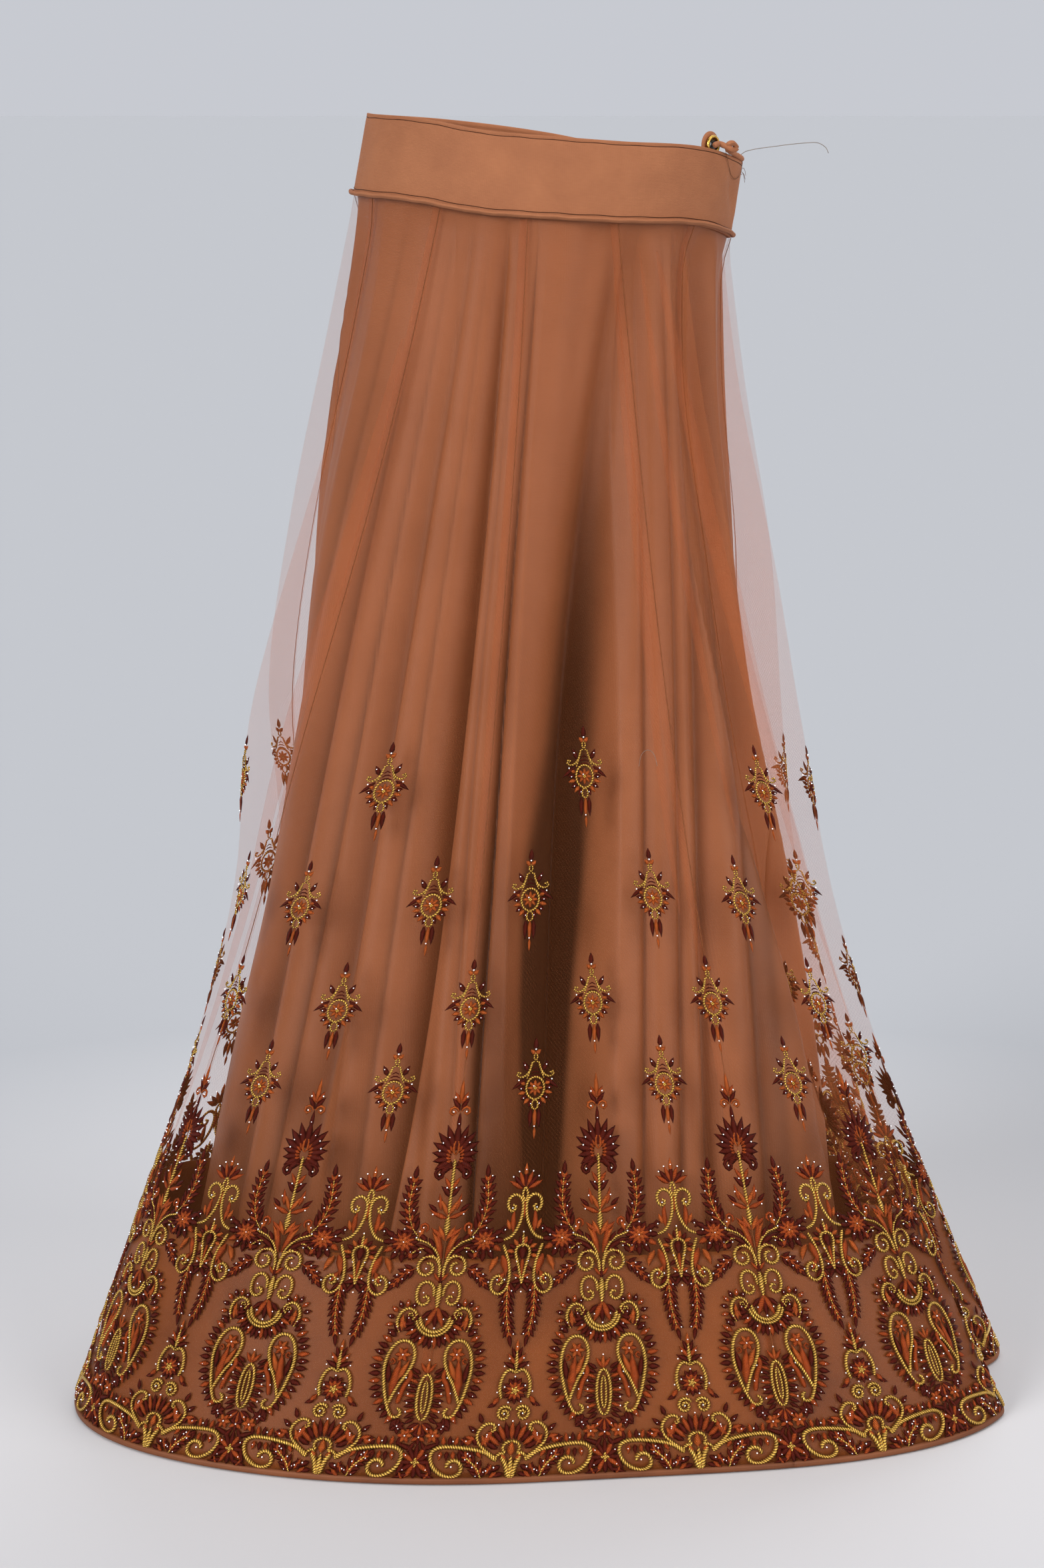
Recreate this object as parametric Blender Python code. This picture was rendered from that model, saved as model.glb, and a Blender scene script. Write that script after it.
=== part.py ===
"""Panelled net skirt over a satin lining, with a hip band.

Metres, +Z up. The origin is the centre of the band's mouth, where the wearer's waist holds the
skirt. The front faces -Y and the closure is at +X. The hem lies on a floor FLOOR_DROP below.

Every cloth is a wall around the Z axis. A point on it has a bearing, 0 at the front and growing
towards +X, and a fall, 0 at the band's lower seam and 1 at the floor.
"""

import bpy
import numpy as np

# Driving sizes
FLOOR_DROP = 1.033
KALIS = 12
KALI_FLARE = 0.130
KALI_FLARE_GROWTH = 0.106
SEAM_GAP = 0.0003
LAYER_GAP = 0.0010
NET_WALL = 0.0010
LINING_WALL = 0.0012
FACING_WALL = 0.0012
FACING_HEIGHT = 0.175
BINDING_HEIGHT = 0.005
BINDING_WALL = 0.0038
BAND_WALL = 0.0024
PIPING_RADIUS = 0.0018
PIPING_RISE = 0.035
LINING_CLEARANCE_AT_BAND = 0.0020
LINING_CLEARANCE_AT_HEM = 0.0160
LINING_LIFT = 0.022
BUTTON_RADIUS = 0.0080
BUTTON_BEARING = 67.0
BUTTON_RISE = 0.0040
RIM_HALF = 0.0016
TAB_WIDTH = 0.0210
TAB_FOOT = 0.022
TAB_WALL = 0.0022
LOOP_RADIUS = 0.0024

# Rolled loop: bearing on the band's top edge, height of its middle over that edge
LOOP_ALONG_BAND = ((85.0, 0.0030), (80.5, 0.0034), (76.0, 0.0046))
# and then across the button's face: sideways and upward from its centre
LOOP_ON_BUTTON = ((0.0060, 0.0002), (0.0025, 0.0012), (-0.0015, 0.0006), (-0.0045, -0.0004))

# Heights of the band's lower seam and top edge round the wearer; it hangs lower at the closure
BAND_LEVELS = {
    "bearing": (-90, -50, -25, 0, 30, 58, 90, 135, 180, 225, 270),
    "low": (-0.045, -0.048, -0.056, -0.0595, -0.063, -0.066, -0.079, -0.075, -0.061, -0.051, -0.045),
    "top": (0.018, 0.015, 0.007, 0.003, -0.0015, -0.0055, -0.021, -0.015, 0.001, 0.012, 0.018),
}
BAND_MEAN_LOW = -0.062
BAND_LOW = {"left": 0.1510, "right": 0.1455, "front": 0.115, "back": 0.115}
BAND_TOP = {"left": 0.1395, "right": 0.1545, "front": 0.108, "back": 0.108}
CLOSURE_BEARING = 88.0
SIDE_SEAM_BEARING = -91.0

# Reach of the net's outer folds at each fall, and how square its plan is (2 is an ellipse)
NET_PLAN = {
    "fall": (0.0, 0.12, 0.25, 0.40, 0.55, 0.70, 0.85, 1.0),
    "left": (0.151, 0.175, 0.205, 0.236, 0.250, 0.288, 0.339, 0.390),
    "right": (0.146, 0.162, 0.186, 0.206, 0.233, 0.277, 0.332, 0.392),
    "front": (0.115, 0.120, 0.127, 0.135, 0.147, 0.163, 0.184, 0.206),
    "back": (0.115, 0.140, 0.174, 0.219, 0.271, 0.330, 0.393, 0.460),
    "square": (2.0, 2.05, 2.1, 2.2, 2.3, 2.35, 2.35, 2.35),
    "seam_c_x": (-0.014, -0.020, -0.0285, -0.040, -0.052, -0.065, -0.082, -0.102),
}
LINING_PLAN = {
    "fall": (0.0, 0.12, 0.25, 0.40, 0.55, 0.70, 0.85, 1.0),
    "left": (0.1485, 0.1715, 0.187, 0.2035, 0.227, 0.261, 0.293, 0.325),
    "right": (0.1430, 0.147, 0.157, 0.1745, 0.2045, 0.230, 0.2445, 0.260),
    "front": (0.1125, 0.116, 0.121, 0.126, 0.135, 0.147, 0.160, 0.174),
    "back": (0.1125, 0.128, 0.146, 0.165, 0.186, 0.209, 0.232, 0.255),
    "square": (2.0, 2.05, 2.1, 2.1, 2.15, 2.2, 2.2, 2.2),
}

# The hem swings towards the wearer's right front by this much
SWING = 0.013

# One soft flute for each kali: how deep each seam sinks, as a share of the depth that uses up
# the cloth at that height, and, for the kali that follows, the ridge's place between its seams
# and how much wider it is cut at the knee.
# seam, share at hip, share at knee, share at hem, ridge place, spare at knee
FLUTES = (
    ("b", 0.00, 0.00, 0.00, 0.50, 0.10),
    ("c", 0.00, 0.00, 0.00, 0.50, 0.00),
    ("d", 0.00, 0.00, 0.00, 0.80, 0.00),
    ("e", 1.10, 0.66, 0.46, 0.44, 0.00),
    ("f", 0.90, 0.85, 0.92, 0.53, 0.00),
    ("g", 0.84, 0.94, 0.92, 0.47, 0.00),
    ("h", 0.96, 0.84, 0.84, 0.55, 0.00),
    ("i", 0.86, 0.96, 0.94, 0.48, 0.00),
    ("j", 0.96, 0.82, 0.84, 0.52, 0.00),
    ("k", 0.84, 0.96, 0.94, 0.45, 0.00),
    ("l", 0.92, 0.85, 0.88, 0.50, 0.00),
    ("a", 0.60, 0.50, 0.72, 0.50, 0.00),
)

# Soft vertical folds of the lining: side (1 front, -1 back), x at the band, knee and hem, half
# width and depth at band, knee and hem
LINING_FOLDS = (
    ("broad_valley", 1, 0.040, 0.010, -0.010, 0.014, 0.030, 0.026, 0.004, 0.030, 0.034),
    ("sharp_crease", 1, -0.027, -0.080, -0.145, 0.008, 0.013, 0.018, 0.003, 0.014, 0.018),
    ("left_crease", 1, -0.056, -0.140, -0.235, 0.008, 0.012, 0.018, 0.002, 0.010, 0.016),
    ("right_crease", 1, 0.105, 0.132, 0.165, 0.008, 0.013, 0.020, 0.002, 0.010, 0.014),
    ("back_left", -1, -0.070, -0.115, -0.170, 0.014, 0.026, 0.034, 0.003, 0.022, 0.034),
    ("back_middle", -1, -0.006, 0.004, 0.016, 0.014, 0.028, 0.040, 0.004, 0.026, 0.040),
    ("back_right", -1, 0.062, 0.098, 0.140, 0.014, 0.024, 0.032, 0.003, 0.020, 0.030),
)

# How the front's folds give way to the back's at the sides, and how softly the net's folds press
SIDE_BLEND = 12
LINING_SOFTNESS = 0.004

# Cuts of the walls: columns of a kali without and with a flute, and rows of the net and lining.
# Row None is at the facing's top edge or just over the binding.
RIDGE_ROUNDNESS = 1.3
COLUMNS_SMOOTH = 7
COLUMNS_FLUTED = 12
NET_FALLS = (0.0, 0.05, 0.12, 0.20, 0.29, 0.38, 0.48, 0.58, 0.68, 0.77, None, 0.915, None)
LINING_ROWS = (0.0, 0.06, 0.14, 0.24, 0.35, 0.46, 0.58, 0.70, 0.82, 0.91, 1.0)
LINING_COLUMNS = {"lining_front": (-90.0, 90.0, 40), "lining_back": (90.0, 270.0, 32)}
BAND_RISES = (1.0, 0.67, 0.33, 0.0)
BAND_COLUMNS = 28
SAMPLES = 24
SETTLE_ROUNDS = 160
NUDGE = 1e-3
SHARP_ANGLE = np.radians(40)
EDGE_TURN = SEAM_GAP / 2 / BAND_TOP["left"]
NEAR_TURNS = np.radians((-6.0, -4.0, -2.0, 0.0, 2.0, 4.0, 6.0))

COLOURS = {
    "net": ((0.55, 0.26, 0.14), 0.75, 0.0),
    "satin": ((0.42, 0.20, 0.12), 0.55, 0.0),
    "band": ((0.40, 0.19, 0.11), 0.80, 0.0),
    "gilt": ((0.75, 0.55, 0.18), 0.30, 1.0),
    "stone": ((0.01, 0.01, 0.01), 0.08, 0.0),
}


def smooth_table(table, column, fall, key="fall"):
    """A smooth curve through a table's column: a cubic between rows, with mean slopes at them."""
    at = np.asarray(table[key])
    value = np.asarray(table[column])
    slope = np.gradient(value, at)
    fall = np.clip(np.asarray(fall, float), at[0], at[-1])
    row = np.clip(np.searchsorted(at, fall, side="right") - 1, 0, len(at) - 2)
    step = at[row + 1] - at[row]
    s = (fall - at[row]) / step
    start = (1 + 2 * s) * (1 - s) ** 2 * value[row] + s * (1 - s) ** 2 * step * slope[row]
    end = s**2 * (3 - 2 * s) * value[row + 1] + s**2 * (s - 1) * step * slope[row + 1]
    return start + end


def three_way(fall, first, middle, last, knee=0.45):
    """The parabola through a value at the band, one at the knee and one at the hem."""
    bend = ((last - first) - (middle - first) / knee) / (1 - knee)
    return first + ((middle - first) / knee - bend * knee) * fall + bend * fall**2


def reach(bearing, left, right, front, back, square):
    """Distance from the axis to a plan whose four quarters are superellipse arcs."""
    side = np.where(np.sin(bearing) < 0, left, right)
    depth = np.where(np.cos(bearing) > 0, front, back)
    total = np.abs(np.sin(bearing) / side) ** square + np.abs(np.cos(bearing) / depth) ** square
    return total ** (-1 / square)


def plan_reach(table, bearing, fall):
    sizes = (smooth_table(table, name, fall) for name in ("left", "right", "front", "back", "square"))
    return reach(bearing, *sizes)


def band_height(bearing, edge):
    degrees = np.mod(np.degrees(bearing) + 90, 360) - 90
    return smooth_table(BAND_LEVELS, edge, degrees, "bearing")


def height(bearing, fall):
    top = band_height(bearing, "low") - SEAM_GAP
    return top + (-FLOOR_DROP - top) * fall


def place(bearing, distance, level):
    return np.stack([distance * np.sin(bearing), -distance * np.cos(bearing), level], axis=-1)


def net_plan_reach(bearing, fall):
    return plan_reach(NET_PLAN, bearing, fall) - SWING * fall**2 * np.sin(2 * bearing)


def kali_widths(falls, at_band):
    """Cut width of every kali at each fall."""
    width = at_band + KALI_FLARE * falls + KALI_FLARE_GROWTH * falls**2
    spare = np.array([row[5] for row in FLUTES])
    return width[:, None] * (1 + spare * 4 * (falls * (1 - falls))[:, None])


def flute_shares(fall):
    """How deep each seam sinks at each fall, one column for each seam, from hip, knee and hem."""
    rows = [np.interp(fall, (0.12, 0.5, 1.0), row[1:4]) for row in FLUTES]
    return np.stack(rows, axis=-1)


def flute_profile(part, ridge, sink_before, sink_after):
    """Depth below the ridge across a kali: two half cosine waves that meet on a round ridge."""
    rising = (1 + np.cos(np.pi * np.clip(part / ridge, 0, 1))) / 2
    falling = (1 - np.cos(np.pi * np.clip((part - ridge) / (1 - ridge), 0, 1))) / 2
    return sink_before * rising**RIDGE_ROUNDNESS + sink_after * falling**RIDGE_ROUNDNESS


def kali_curves(falls, steps, sink, shares, parts):
    """Points of every kali at each fall: (falls, kalis, parts, 3)."""
    seams = np.concatenate([np.zeros((len(falls), 1)), np.cumsum(steps, axis=1)], axis=1)
    ridge = np.array([row[4] for row in FLUTES])[None, :, None]
    front_seam = smooth_table(NET_PLAN, "seam_c_x", falls)
    front_reach = net_plan_reach(np.zeros(len(falls)), falls)
    anchor = np.arctan2(front_seam, front_reach) - seams[:, 1]
    bearing = (
        anchor[:, None, None]
        + seams[:, :-1, None]
        + steps[:, :, None] * parts[None, None, :]
    )
    fall = np.broadcast_to(falls[:, None, None], bearing.shape)
    before = (sink[:, None] * shares)[:, :, None]
    after = np.roll(before, -1, axis=1)
    distance = net_plan_reach(bearing, fall)
    distance = distance - flute_profile(parts[None, None, :], ridge, before, after)
    return place(bearing, distance, height(bearing, fall))


def row_lengths(points):
    return np.linalg.norm(np.diff(points[..., :2], axis=2), axis=-1).sum(axis=2)


def settle_kalis(falls):
    """Bearing steps and the flutes' depth at each fall, so that every kali has its own cut width.

    The steps and the depth are corrected in turn until each kali's row is as long as its cloth.
    """
    parts = np.linspace(0, 1, SAMPLES + 1)
    round_band = np.linspace(0, 2 * np.pi, 721)
    band = place(round_band, reach(round_band, *BAND_LOW.values(), 2.0), 0 * round_band)
    at_band = np.linalg.norm(np.diff(band, axis=0), axis=1).sum() / KALIS
    width = kali_widths(falls, at_band)
    shares = flute_shares(falls)
    steps = np.full((len(falls), KALIS), 2 * np.pi / KALIS)
    sink = 0.16 * falls
    for _ in range(SETTLE_ROUNDS):
        lengths = row_lengths(kali_curves(falls, steps, sink, shares, parts))
        steps = steps * (width / lengths) ** 0.35
        steps = steps * (2 * np.pi / steps.sum(axis=1, keepdims=True))
        missing = (width - lengths).sum(axis=1)
        sink = np.clip(sink + 0.03 * missing, 0, 0.3)
    return steps, sink, shares


def kali_grid(kali, falls, columns, settled):
    """Outer points and outward normals of one kali, its edges drawn in by half a seam gap."""
    steps, sink, shares = settled
    parts = np.linspace(0, 1, columns + 1)
    wide = np.concatenate([parts - NUDGE, parts, parts + NUDGE])
    curves = kali_curves_at(falls, steps, sink, shares, kali, wide)
    before, at, after = np.split(curves, 3, axis=1)
    along = after - before
    along /= np.linalg.norm(along, axis=-1, keepdims=True)
    down = np.gradient(at, falls, axis=0)
    outward = np.cross(down, along)
    outward[-1, :, 2] = 0
    outward /= np.linalg.norm(outward, axis=-1, keepdims=True)
    at[:, 0] += along[:, 0] * SEAM_GAP / 2
    at[:, -1] -= along[:, -1] * SEAM_GAP / 2
    return at, outward


def kali_curves_at(falls, steps, sink, shares, kali, parts):
    """One kali's points at the given parts; parts past its edges run on into its neighbours."""
    every = kali_curves(falls, steps, sink, shares, np.clip(parts, 0, 1))
    own = every[:, kali]
    spill = np.where(parts < 0, parts, np.where(parts > 1, parts - 1, 0))
    before = kali_curves(falls, steps, sink, shares, np.clip(1 + spill, 0, 1))[:, kali - 1]
    after = kali_curves(falls, steps, sink, shares, np.clip(spill, 0, 1))[:, (kali + 1) % KALIS]
    own = np.where((spill < 0)[None, :, None], before, own)
    return np.where((spill > 0)[None, :, None], after, own)


def material(name):
    found = bpy.data.materials.get(name)
    if found:
        return found
    colour, roughness, metallic = COLOURS[name]
    made = bpy.data.materials.new(name)
    made.use_nodes = True
    shader = made.node_tree.nodes["Principled BSDF"]
    shader.inputs["Base Color"].default_value = (*colour, 1)
    shader.inputs["Roughness"].default_value = roughness
    shader.inputs["Metallic"].default_value = metallic
    made.diffuse_color = (*colour, 1)
    return made


def add_mesh(name, points, faces, finish):
    mesh = bpy.data.meshes.new(name)
    mesh.from_pydata([tuple(p) for p in np.asarray(points, float)], [], faces)
    mesh.materials.append(material(finish))
    mesh.validate()
    mesh.shade_smooth()
    mesh.set_sharp_from_angle(angle=SHARP_ANGLE)
    piece = bpy.data.objects.new(name, mesh)
    bpy.context.collection.objects.link(piece)
    return piece


def strip_facets(first, second):
    """Triangles of the strip between two rows of point numbers, always on the same diagonal."""
    a, b, c, d = first[:-1], first[1:], second[1:], second[:-1]
    return np.concatenate([np.stack([a, b, c], axis=-1), np.stack([a, c, d], axis=-1)])


def add_wall(name, outer, inner, finish):
    """A closed wall between two grids of points, rows running down and columns to +bearing.

    Both faces and both side edges are split on the same diagonals, so that a neighbouring wall
    made from the same points keeps its gap everywhere.
    """
    rows, columns = outer.shape[:2]
    count = rows * columns
    at = np.arange(count).reshape(rows, columns)
    face = np.concatenate([strip_facets(at[row + 1], at[row]) for row in range(rows - 1)])
    right = strip_facets(at[:, -1], at[:, -1] + count)
    left = strip_facets(at[:, 0], at[:, 0] + count)
    top = strip_facets(at[0], at[0] + count)
    bottom = strip_facets(at[-1], at[-1] + count)
    turned = (face + count, left, bottom)
    faces = np.concatenate([face, right, top] + [part[:, ::-1] for part in turned])
    points = np.concatenate([outer.reshape(-1, 3), inner.reshape(-1, 3)])
    return add_mesh(name, points, faces.tolist(), finish)


def add_tube(name, path, radius, sides, finish):
    """A closed round rod along a path of points."""
    path = np.asarray(path, float)
    ahead = np.gradient(path, axis=0)
    ahead /= np.linalg.norm(ahead, axis=1, keepdims=True)
    across = np.cross(ahead, (0.0, 0.0, 1.0))
    across /= np.linalg.norm(across, axis=1, keepdims=True)
    upward = np.cross(across, ahead)
    turn = np.arange(sides) * 2 * np.pi / sides
    ring = (
        across[:, None] * np.cos(turn)[None, :, None] + upward[:, None] * np.sin(turn)[None, :, None]
    )
    points = (path[:, None] + radius * ring).reshape(-1, 3)
    at = np.arange(len(points)).reshape(len(path), sides)
    a, b = at[:-1], at[1:]
    quads = np.stack([a, np.roll(a, -1, 1), np.roll(b, -1, 1), b], axis=-1).reshape(-1, 4)
    faces = quads[:, ::-1].tolist() + [at[0].tolist(), at[-1, ::-1].tolist()]
    return add_mesh(name, points, faces, finish)


def net_falls():
    """Falls of the net's rows, with one at the facing's top and one just above the binding."""
    facing = 1 - FACING_HEIGHT / (FLOOR_DROP + BAND_MEAN_LOW)
    hem = 1 - (BINDING_HEIGHT + SEAM_GAP) / (FLOOR_DROP + BAND_MEAN_LOW)
    marks = iter((facing, hem))
    return np.array([next(marks) if fall is None else fall for fall in NET_FALLS])


def kali_columns(kali):
    sinks = max(max(FLUTES[kali][1:4]), max(FLUTES[(kali + 1) % KALIS][1:4]))
    return COLUMNS_FLUTED if sinks else COLUMNS_SMOOTH


def build_net(settled, falls):
    """The twelve kalis; returns their grids for the pieces that lie on them."""
    grids = []
    for kali in range(KALIS):
        outer, outward = kali_grid(kali, falls, kali_columns(kali), settled)
        add_wall(f"net_panel_{kali + 1:02d}", outer, outer - NET_WALL * outward, "net")
        grids.append((outer, outward))
    return grids


def joined(grids, kalis, rows):
    """The kalis' grids side by side as one, with the doubled seam columns taken once."""
    outer = [grids[k % KALIS][0][rows] for k in kalis]
    outward = [grids[k % KALIS][1][rows] for k in kalis]
    outer = [outer[0]] + [grid[:, 1:] for grid in outer[1:]]
    outward = [outward[0]] + [grid[:, 1:] for grid in outward[1:]]
    return np.concatenate(outer, axis=1), np.concatenate(outward, axis=1)


def build_facing_and_binding(grids, falls):
    """The facing lies inside the net at the hem; the binding closes the edge of both."""
    facing_top = int(np.argmin(np.abs(falls - (1 - FACING_HEIGHT / (FLOOR_DROP + BAND_MEAN_LOW)))))
    lengths = {"front": (11, 12, 13), "right": (14, 15, 16), "back": (17, 18, 19), "left": (20, 21, 22)}
    for side, kalis in lengths.items():
        outer, outward = joined(grids, kalis, slice(facing_top, None))
        face = outer - (NET_WALL + LAYER_GAP) * outward
        add_wall(f"hem_facing_{side}", face, face - FACING_WALL * outward, "satin")
        proud = (BINDING_WALL - NET_WALL - LAYER_GAP - FACING_WALL) / 2
        edge = outer[-1] + proud * outward[-1]
        strip = np.stack([edge, edge])
        strip[0, :, 2] = -FLOOR_DROP + BINDING_HEIGHT
        strip[1, :, 2] = -FLOOR_DROP
        add_wall(f"hem_binding_{side}", strip, strip - BINDING_WALL * outward[-1], "band")


def lining_surface(bearing, falls, net_reach):
    """The lining's own plan less its folds, kept a clearance inside the net's deepest folds."""
    fall = np.broadcast_to(falls[:, None], bearing.shape)
    distance = plan_reach(LINING_PLAN, bearing, fall)
    across = distance * np.sin(bearing)
    for _, side, *sizes in LINING_FOLDS:
        middle, width, depth = (three_way(fall, *sizes[i : i + 3]) for i in (0, 3, 6))
        facing = 1 / (1 + np.exp(-side * SIDE_BLEND * np.cos(bearing)))
        distance = distance - facing * depth * np.exp(-(((across - middle) / width) ** 2))
    clearance = LINING_CLEARANCE_AT_BAND + (LINING_CLEARANCE_AT_HEM - LINING_CLEARANCE_AT_BAND) * fall
    limit = net_reach - clearance
    spare = limit - distance
    return distance - LINING_SOFTNESS * np.log1p(np.exp(-spare / LINING_SOFTNESS))


def net_reach_near(bearing, falls, settled):
    """The net's least distance from the axis within a few degrees of each bearing."""
    return np.min([net_reach_at(bearing + turn, falls, settled) for turn in NEAR_TURNS], axis=0)


def net_reach_at(bearing, falls, settled):
    """The net's distance from the axis at each bearing, read from its own curves."""
    parts = np.linspace(0, 1, SAMPLES + 1)
    curves = kali_curves(falls, *settled, parts)
    found = np.empty_like(bearing)
    for row in range(len(falls)):
        points = curves[row].reshape(-1, 3)
        angle = np.unwrap(np.arctan2(points[:, 0], -points[:, 1]))
        distance = np.hypot(points[:, 0], points[:, 1])
        turn = np.mod(bearing[row] - angle[0], 2 * np.pi) + angle[0]
        found[row] = np.interp(turn, angle, distance)
    return found


def build_lining():
    """Front and back halves, hanging a little short of the floor."""
    falls = np.array(LINING_ROWS) * (1 - LINING_LIFT / (FLOOR_DROP + BAND_MEAN_LOW))
    settled = settle_kalis(falls)
    for name, (start, end, columns) in LINING_COLUMNS.items():
        one = np.radians(np.linspace(start, end, columns + 1))
        bearing = np.broadcast_to(one, (len(falls), len(one))).copy()

        def surface(angle):
            distance = lining_surface(angle, falls, net_reach_near(angle, falls, settled))
            return place(angle, distance, height(angle, falls[:, None]))

        outer = surface(bearing)
        along = surface(bearing + NUDGE) - surface(bearing - NUDGE)
        along /= np.linalg.norm(along, axis=-1, keepdims=True)
        outward = np.cross(np.gradient(outer, falls, axis=0), along)
        outward /= np.linalg.norm(outward, axis=-1, keepdims=True)
        outer[:, 0] += along[:, 0] * SEAM_GAP / 2
        outer[:, -1] -= along[:, -1] * SEAM_GAP / 2
        add_wall(name, outer, outer - LINING_WALL * outward, "satin")


def band_point(bearing, rise):
    """A point on the band's outer face: rise 0 at its lower seam, 1 at its top edge."""
    low = reach(bearing, *BAND_LOW.values(), 2.0)
    top = reach(bearing, *BAND_TOP.values(), 2.0)
    distance = low + (top - low) * rise
    low_level = band_height(bearing, "low") + SEAM_GAP
    top_level = band_height(bearing, "top")
    return place(bearing, distance, low_level + (top_level - low_level) * rise)


def build_band():
    halves = {
        "waistband_front": (SIDE_SEAM_BEARING, CLOSURE_BEARING),
        "waistband_back": (CLOSURE_BEARING, 360 + SIDE_SEAM_BEARING),
    }
    for name, (start, end) in halves.items():
        bearing = np.radians(np.linspace(start, end, BAND_COLUMNS + 1))
        bearing[0] += EDGE_TURN
        bearing[-1] -= EDGE_TURN
        outer = np.stack([band_point(bearing, rise) for rise in BAND_RISES])
        inward = place(bearing, np.full(len(bearing), BAND_WALL), 0 * bearing)
        add_wall(name, outer, outer - inward, "band")


def build_piping():
    bearing = np.radians(np.linspace(SIDE_SEAM_BEARING, 360 + SIDE_SEAM_BEARING, 65))
    for name, part in (("waist_piping_front", slice(0, 33)), ("waist_piping_back", slice(32, 65))):
        own = bearing[part].copy()
        own[0] += EDGE_TURN
        own[-1] -= EDGE_TURN
        centre = band_point(own, PIPING_RISE)
        out = place(own, np.full(len(own), PIPING_RADIUS + SEAM_GAP), 0 * own)
        add_tube(name, centre + out, PIPING_RADIUS, 8, "band")


class ClosureFrame:
    """Place on the band's top edge where the button stands: sideways, up and outward."""

    def __init__(self):
        bearing = np.radians(BUTTON_BEARING)
        edge = band_point(np.array([bearing]), 1.0)[0]
        outward = np.array((edge[0] / BAND_TOP["right"] ** 2, edge[1] / BAND_TOP["front"] ** 2, 0.0))
        self.outward = outward / np.linalg.norm(outward)
        self.side = np.cross((0.0, 0.0, 1.0), self.outward)
        self.up = np.array((0.0, 0.0, 1.0))
        inset = BAND_WALL + 2 * SEAM_GAP + RIM_HALF
        self.centre = edge - inset * self.outward + BUTTON_RISE * self.up

    def at(self, across, rise, forward):
        pairs = ((across, self.side), (rise, self.up), (forward, self.outward))
        return self.centre + sum(np.multiply.outer(size, way) for size, way in pairs)


def add_turned(name, frame, radius, forward, segments, finish, ring):
    """A turned piece facing outward: profile points by radius and depth, closed into a ring or
    capped at its first and last point."""
    turn = np.arange(segments) * 2 * np.pi / segments
    radius = np.asarray(radius)[:, None]
    depth = np.broadcast_to(np.asarray(forward)[:, None], (len(radius), segments))
    points = frame.at(radius * np.cos(turn), radius * np.sin(turn), depth)
    at = np.arange(depth.size).reshape(-1, segments)
    rows = np.concatenate([at, at[:1]]) if ring else at
    a, b = rows[:-1], rows[1:]
    faces = np.stack([a, np.roll(a, -1, 1), np.roll(b, -1, 1), b], axis=-1).reshape(-1, 4).tolist()
    if not ring:
        faces += [at[0, ::-1].tolist(), at[-1].tolist()]
    return add_mesh(name, points.reshape(-1, 3), faces, finish)


def build_closure():
    """A round tab on the back half's end stands up inside the front half. Its button shows over
    the band's top edge, and a rolled loop from the front half's corner lies round the button."""
    frame = ClosureFrame()
    half = TAB_WIDTH / 2
    turn = np.linspace(0, np.pi, 9)
    across = np.concatenate([[half], half * np.cos(turn), [-half]])
    rise = np.concatenate([[-TAB_FOOT], half * np.sin(turn), [-TAB_FOOT]])
    face = -(RIM_HALF + SEAM_GAP)
    front = frame.at(across, rise, np.full(len(across), face))
    back = frame.at(across, rise, np.full(len(across), face - TAB_WALL))
    first = np.arange(len(across))
    following = np.roll(first, -1)
    sides = np.stack([first, first + len(across), following + len(across), following], axis=-1)
    faces = [first.tolist(), (first[::-1] + len(across)).tolist()] + sides.tolist()
    add_mesh("closure_tab", np.concatenate([front, back]), faces, "band")

    circle = np.arange(8) * 2 * np.pi / 8
    rim_radius = BUTTON_RADIUS - RIM_HALF + RIM_HALF * np.cos(circle)
    add_turned("button_rim", frame, rim_radius, RIM_HALF * np.sin(circle), 24, "gilt", True)
    stone = BUTTON_RADIUS - 2 * RIM_HALF - SEAM_GAP
    radius = (stone, stone, stone * 0.8, stone * 0.4)
    add_turned("button_stone", frame, radius, (-0.0014, 0.0002, 0.0013, 0.0019), 20, "stone", False)

    along = [
        band_point(np.radians([bearing]), 1.0)[0] + (0.0, 0.0, over)
        for bearing, over in LOOP_ALONG_BAND
    ]
    lying = RIM_HALF + SEAM_GAP + LOOP_RADIUS
    across_button = [frame.at(side, rise, lying) for side, rise in LOOP_ON_BUTTON]
    add_tube("closure_loop", along + across_button, LOOP_RADIUS, 8, "band")


def main():
    for old in list(bpy.data.objects):
        bpy.data.objects.remove(old, do_unlink=True)
    falls = net_falls()
    settled = settle_kalis(falls)
    grids = build_net(settled, falls)
    build_facing_and_binding(grids, falls)
    build_lining()
    build_band()
    build_piping()
    build_closure()


main()
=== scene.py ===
"""Looks of the panelled net skirt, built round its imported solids.

Metres, +Z up, the front faces -Y. Each cloth is worked out again from the part's own sizes on a
finer grid: a point has a bearing, 0 at the front and growing towards +X, and a fall, 0 at the
band's lower seam and 1 at the floor. The embroidery is drawn flat in millimetres, x across and y
up from the hem, and is then laid on the net through a chart of the net's surface.
"""

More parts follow.
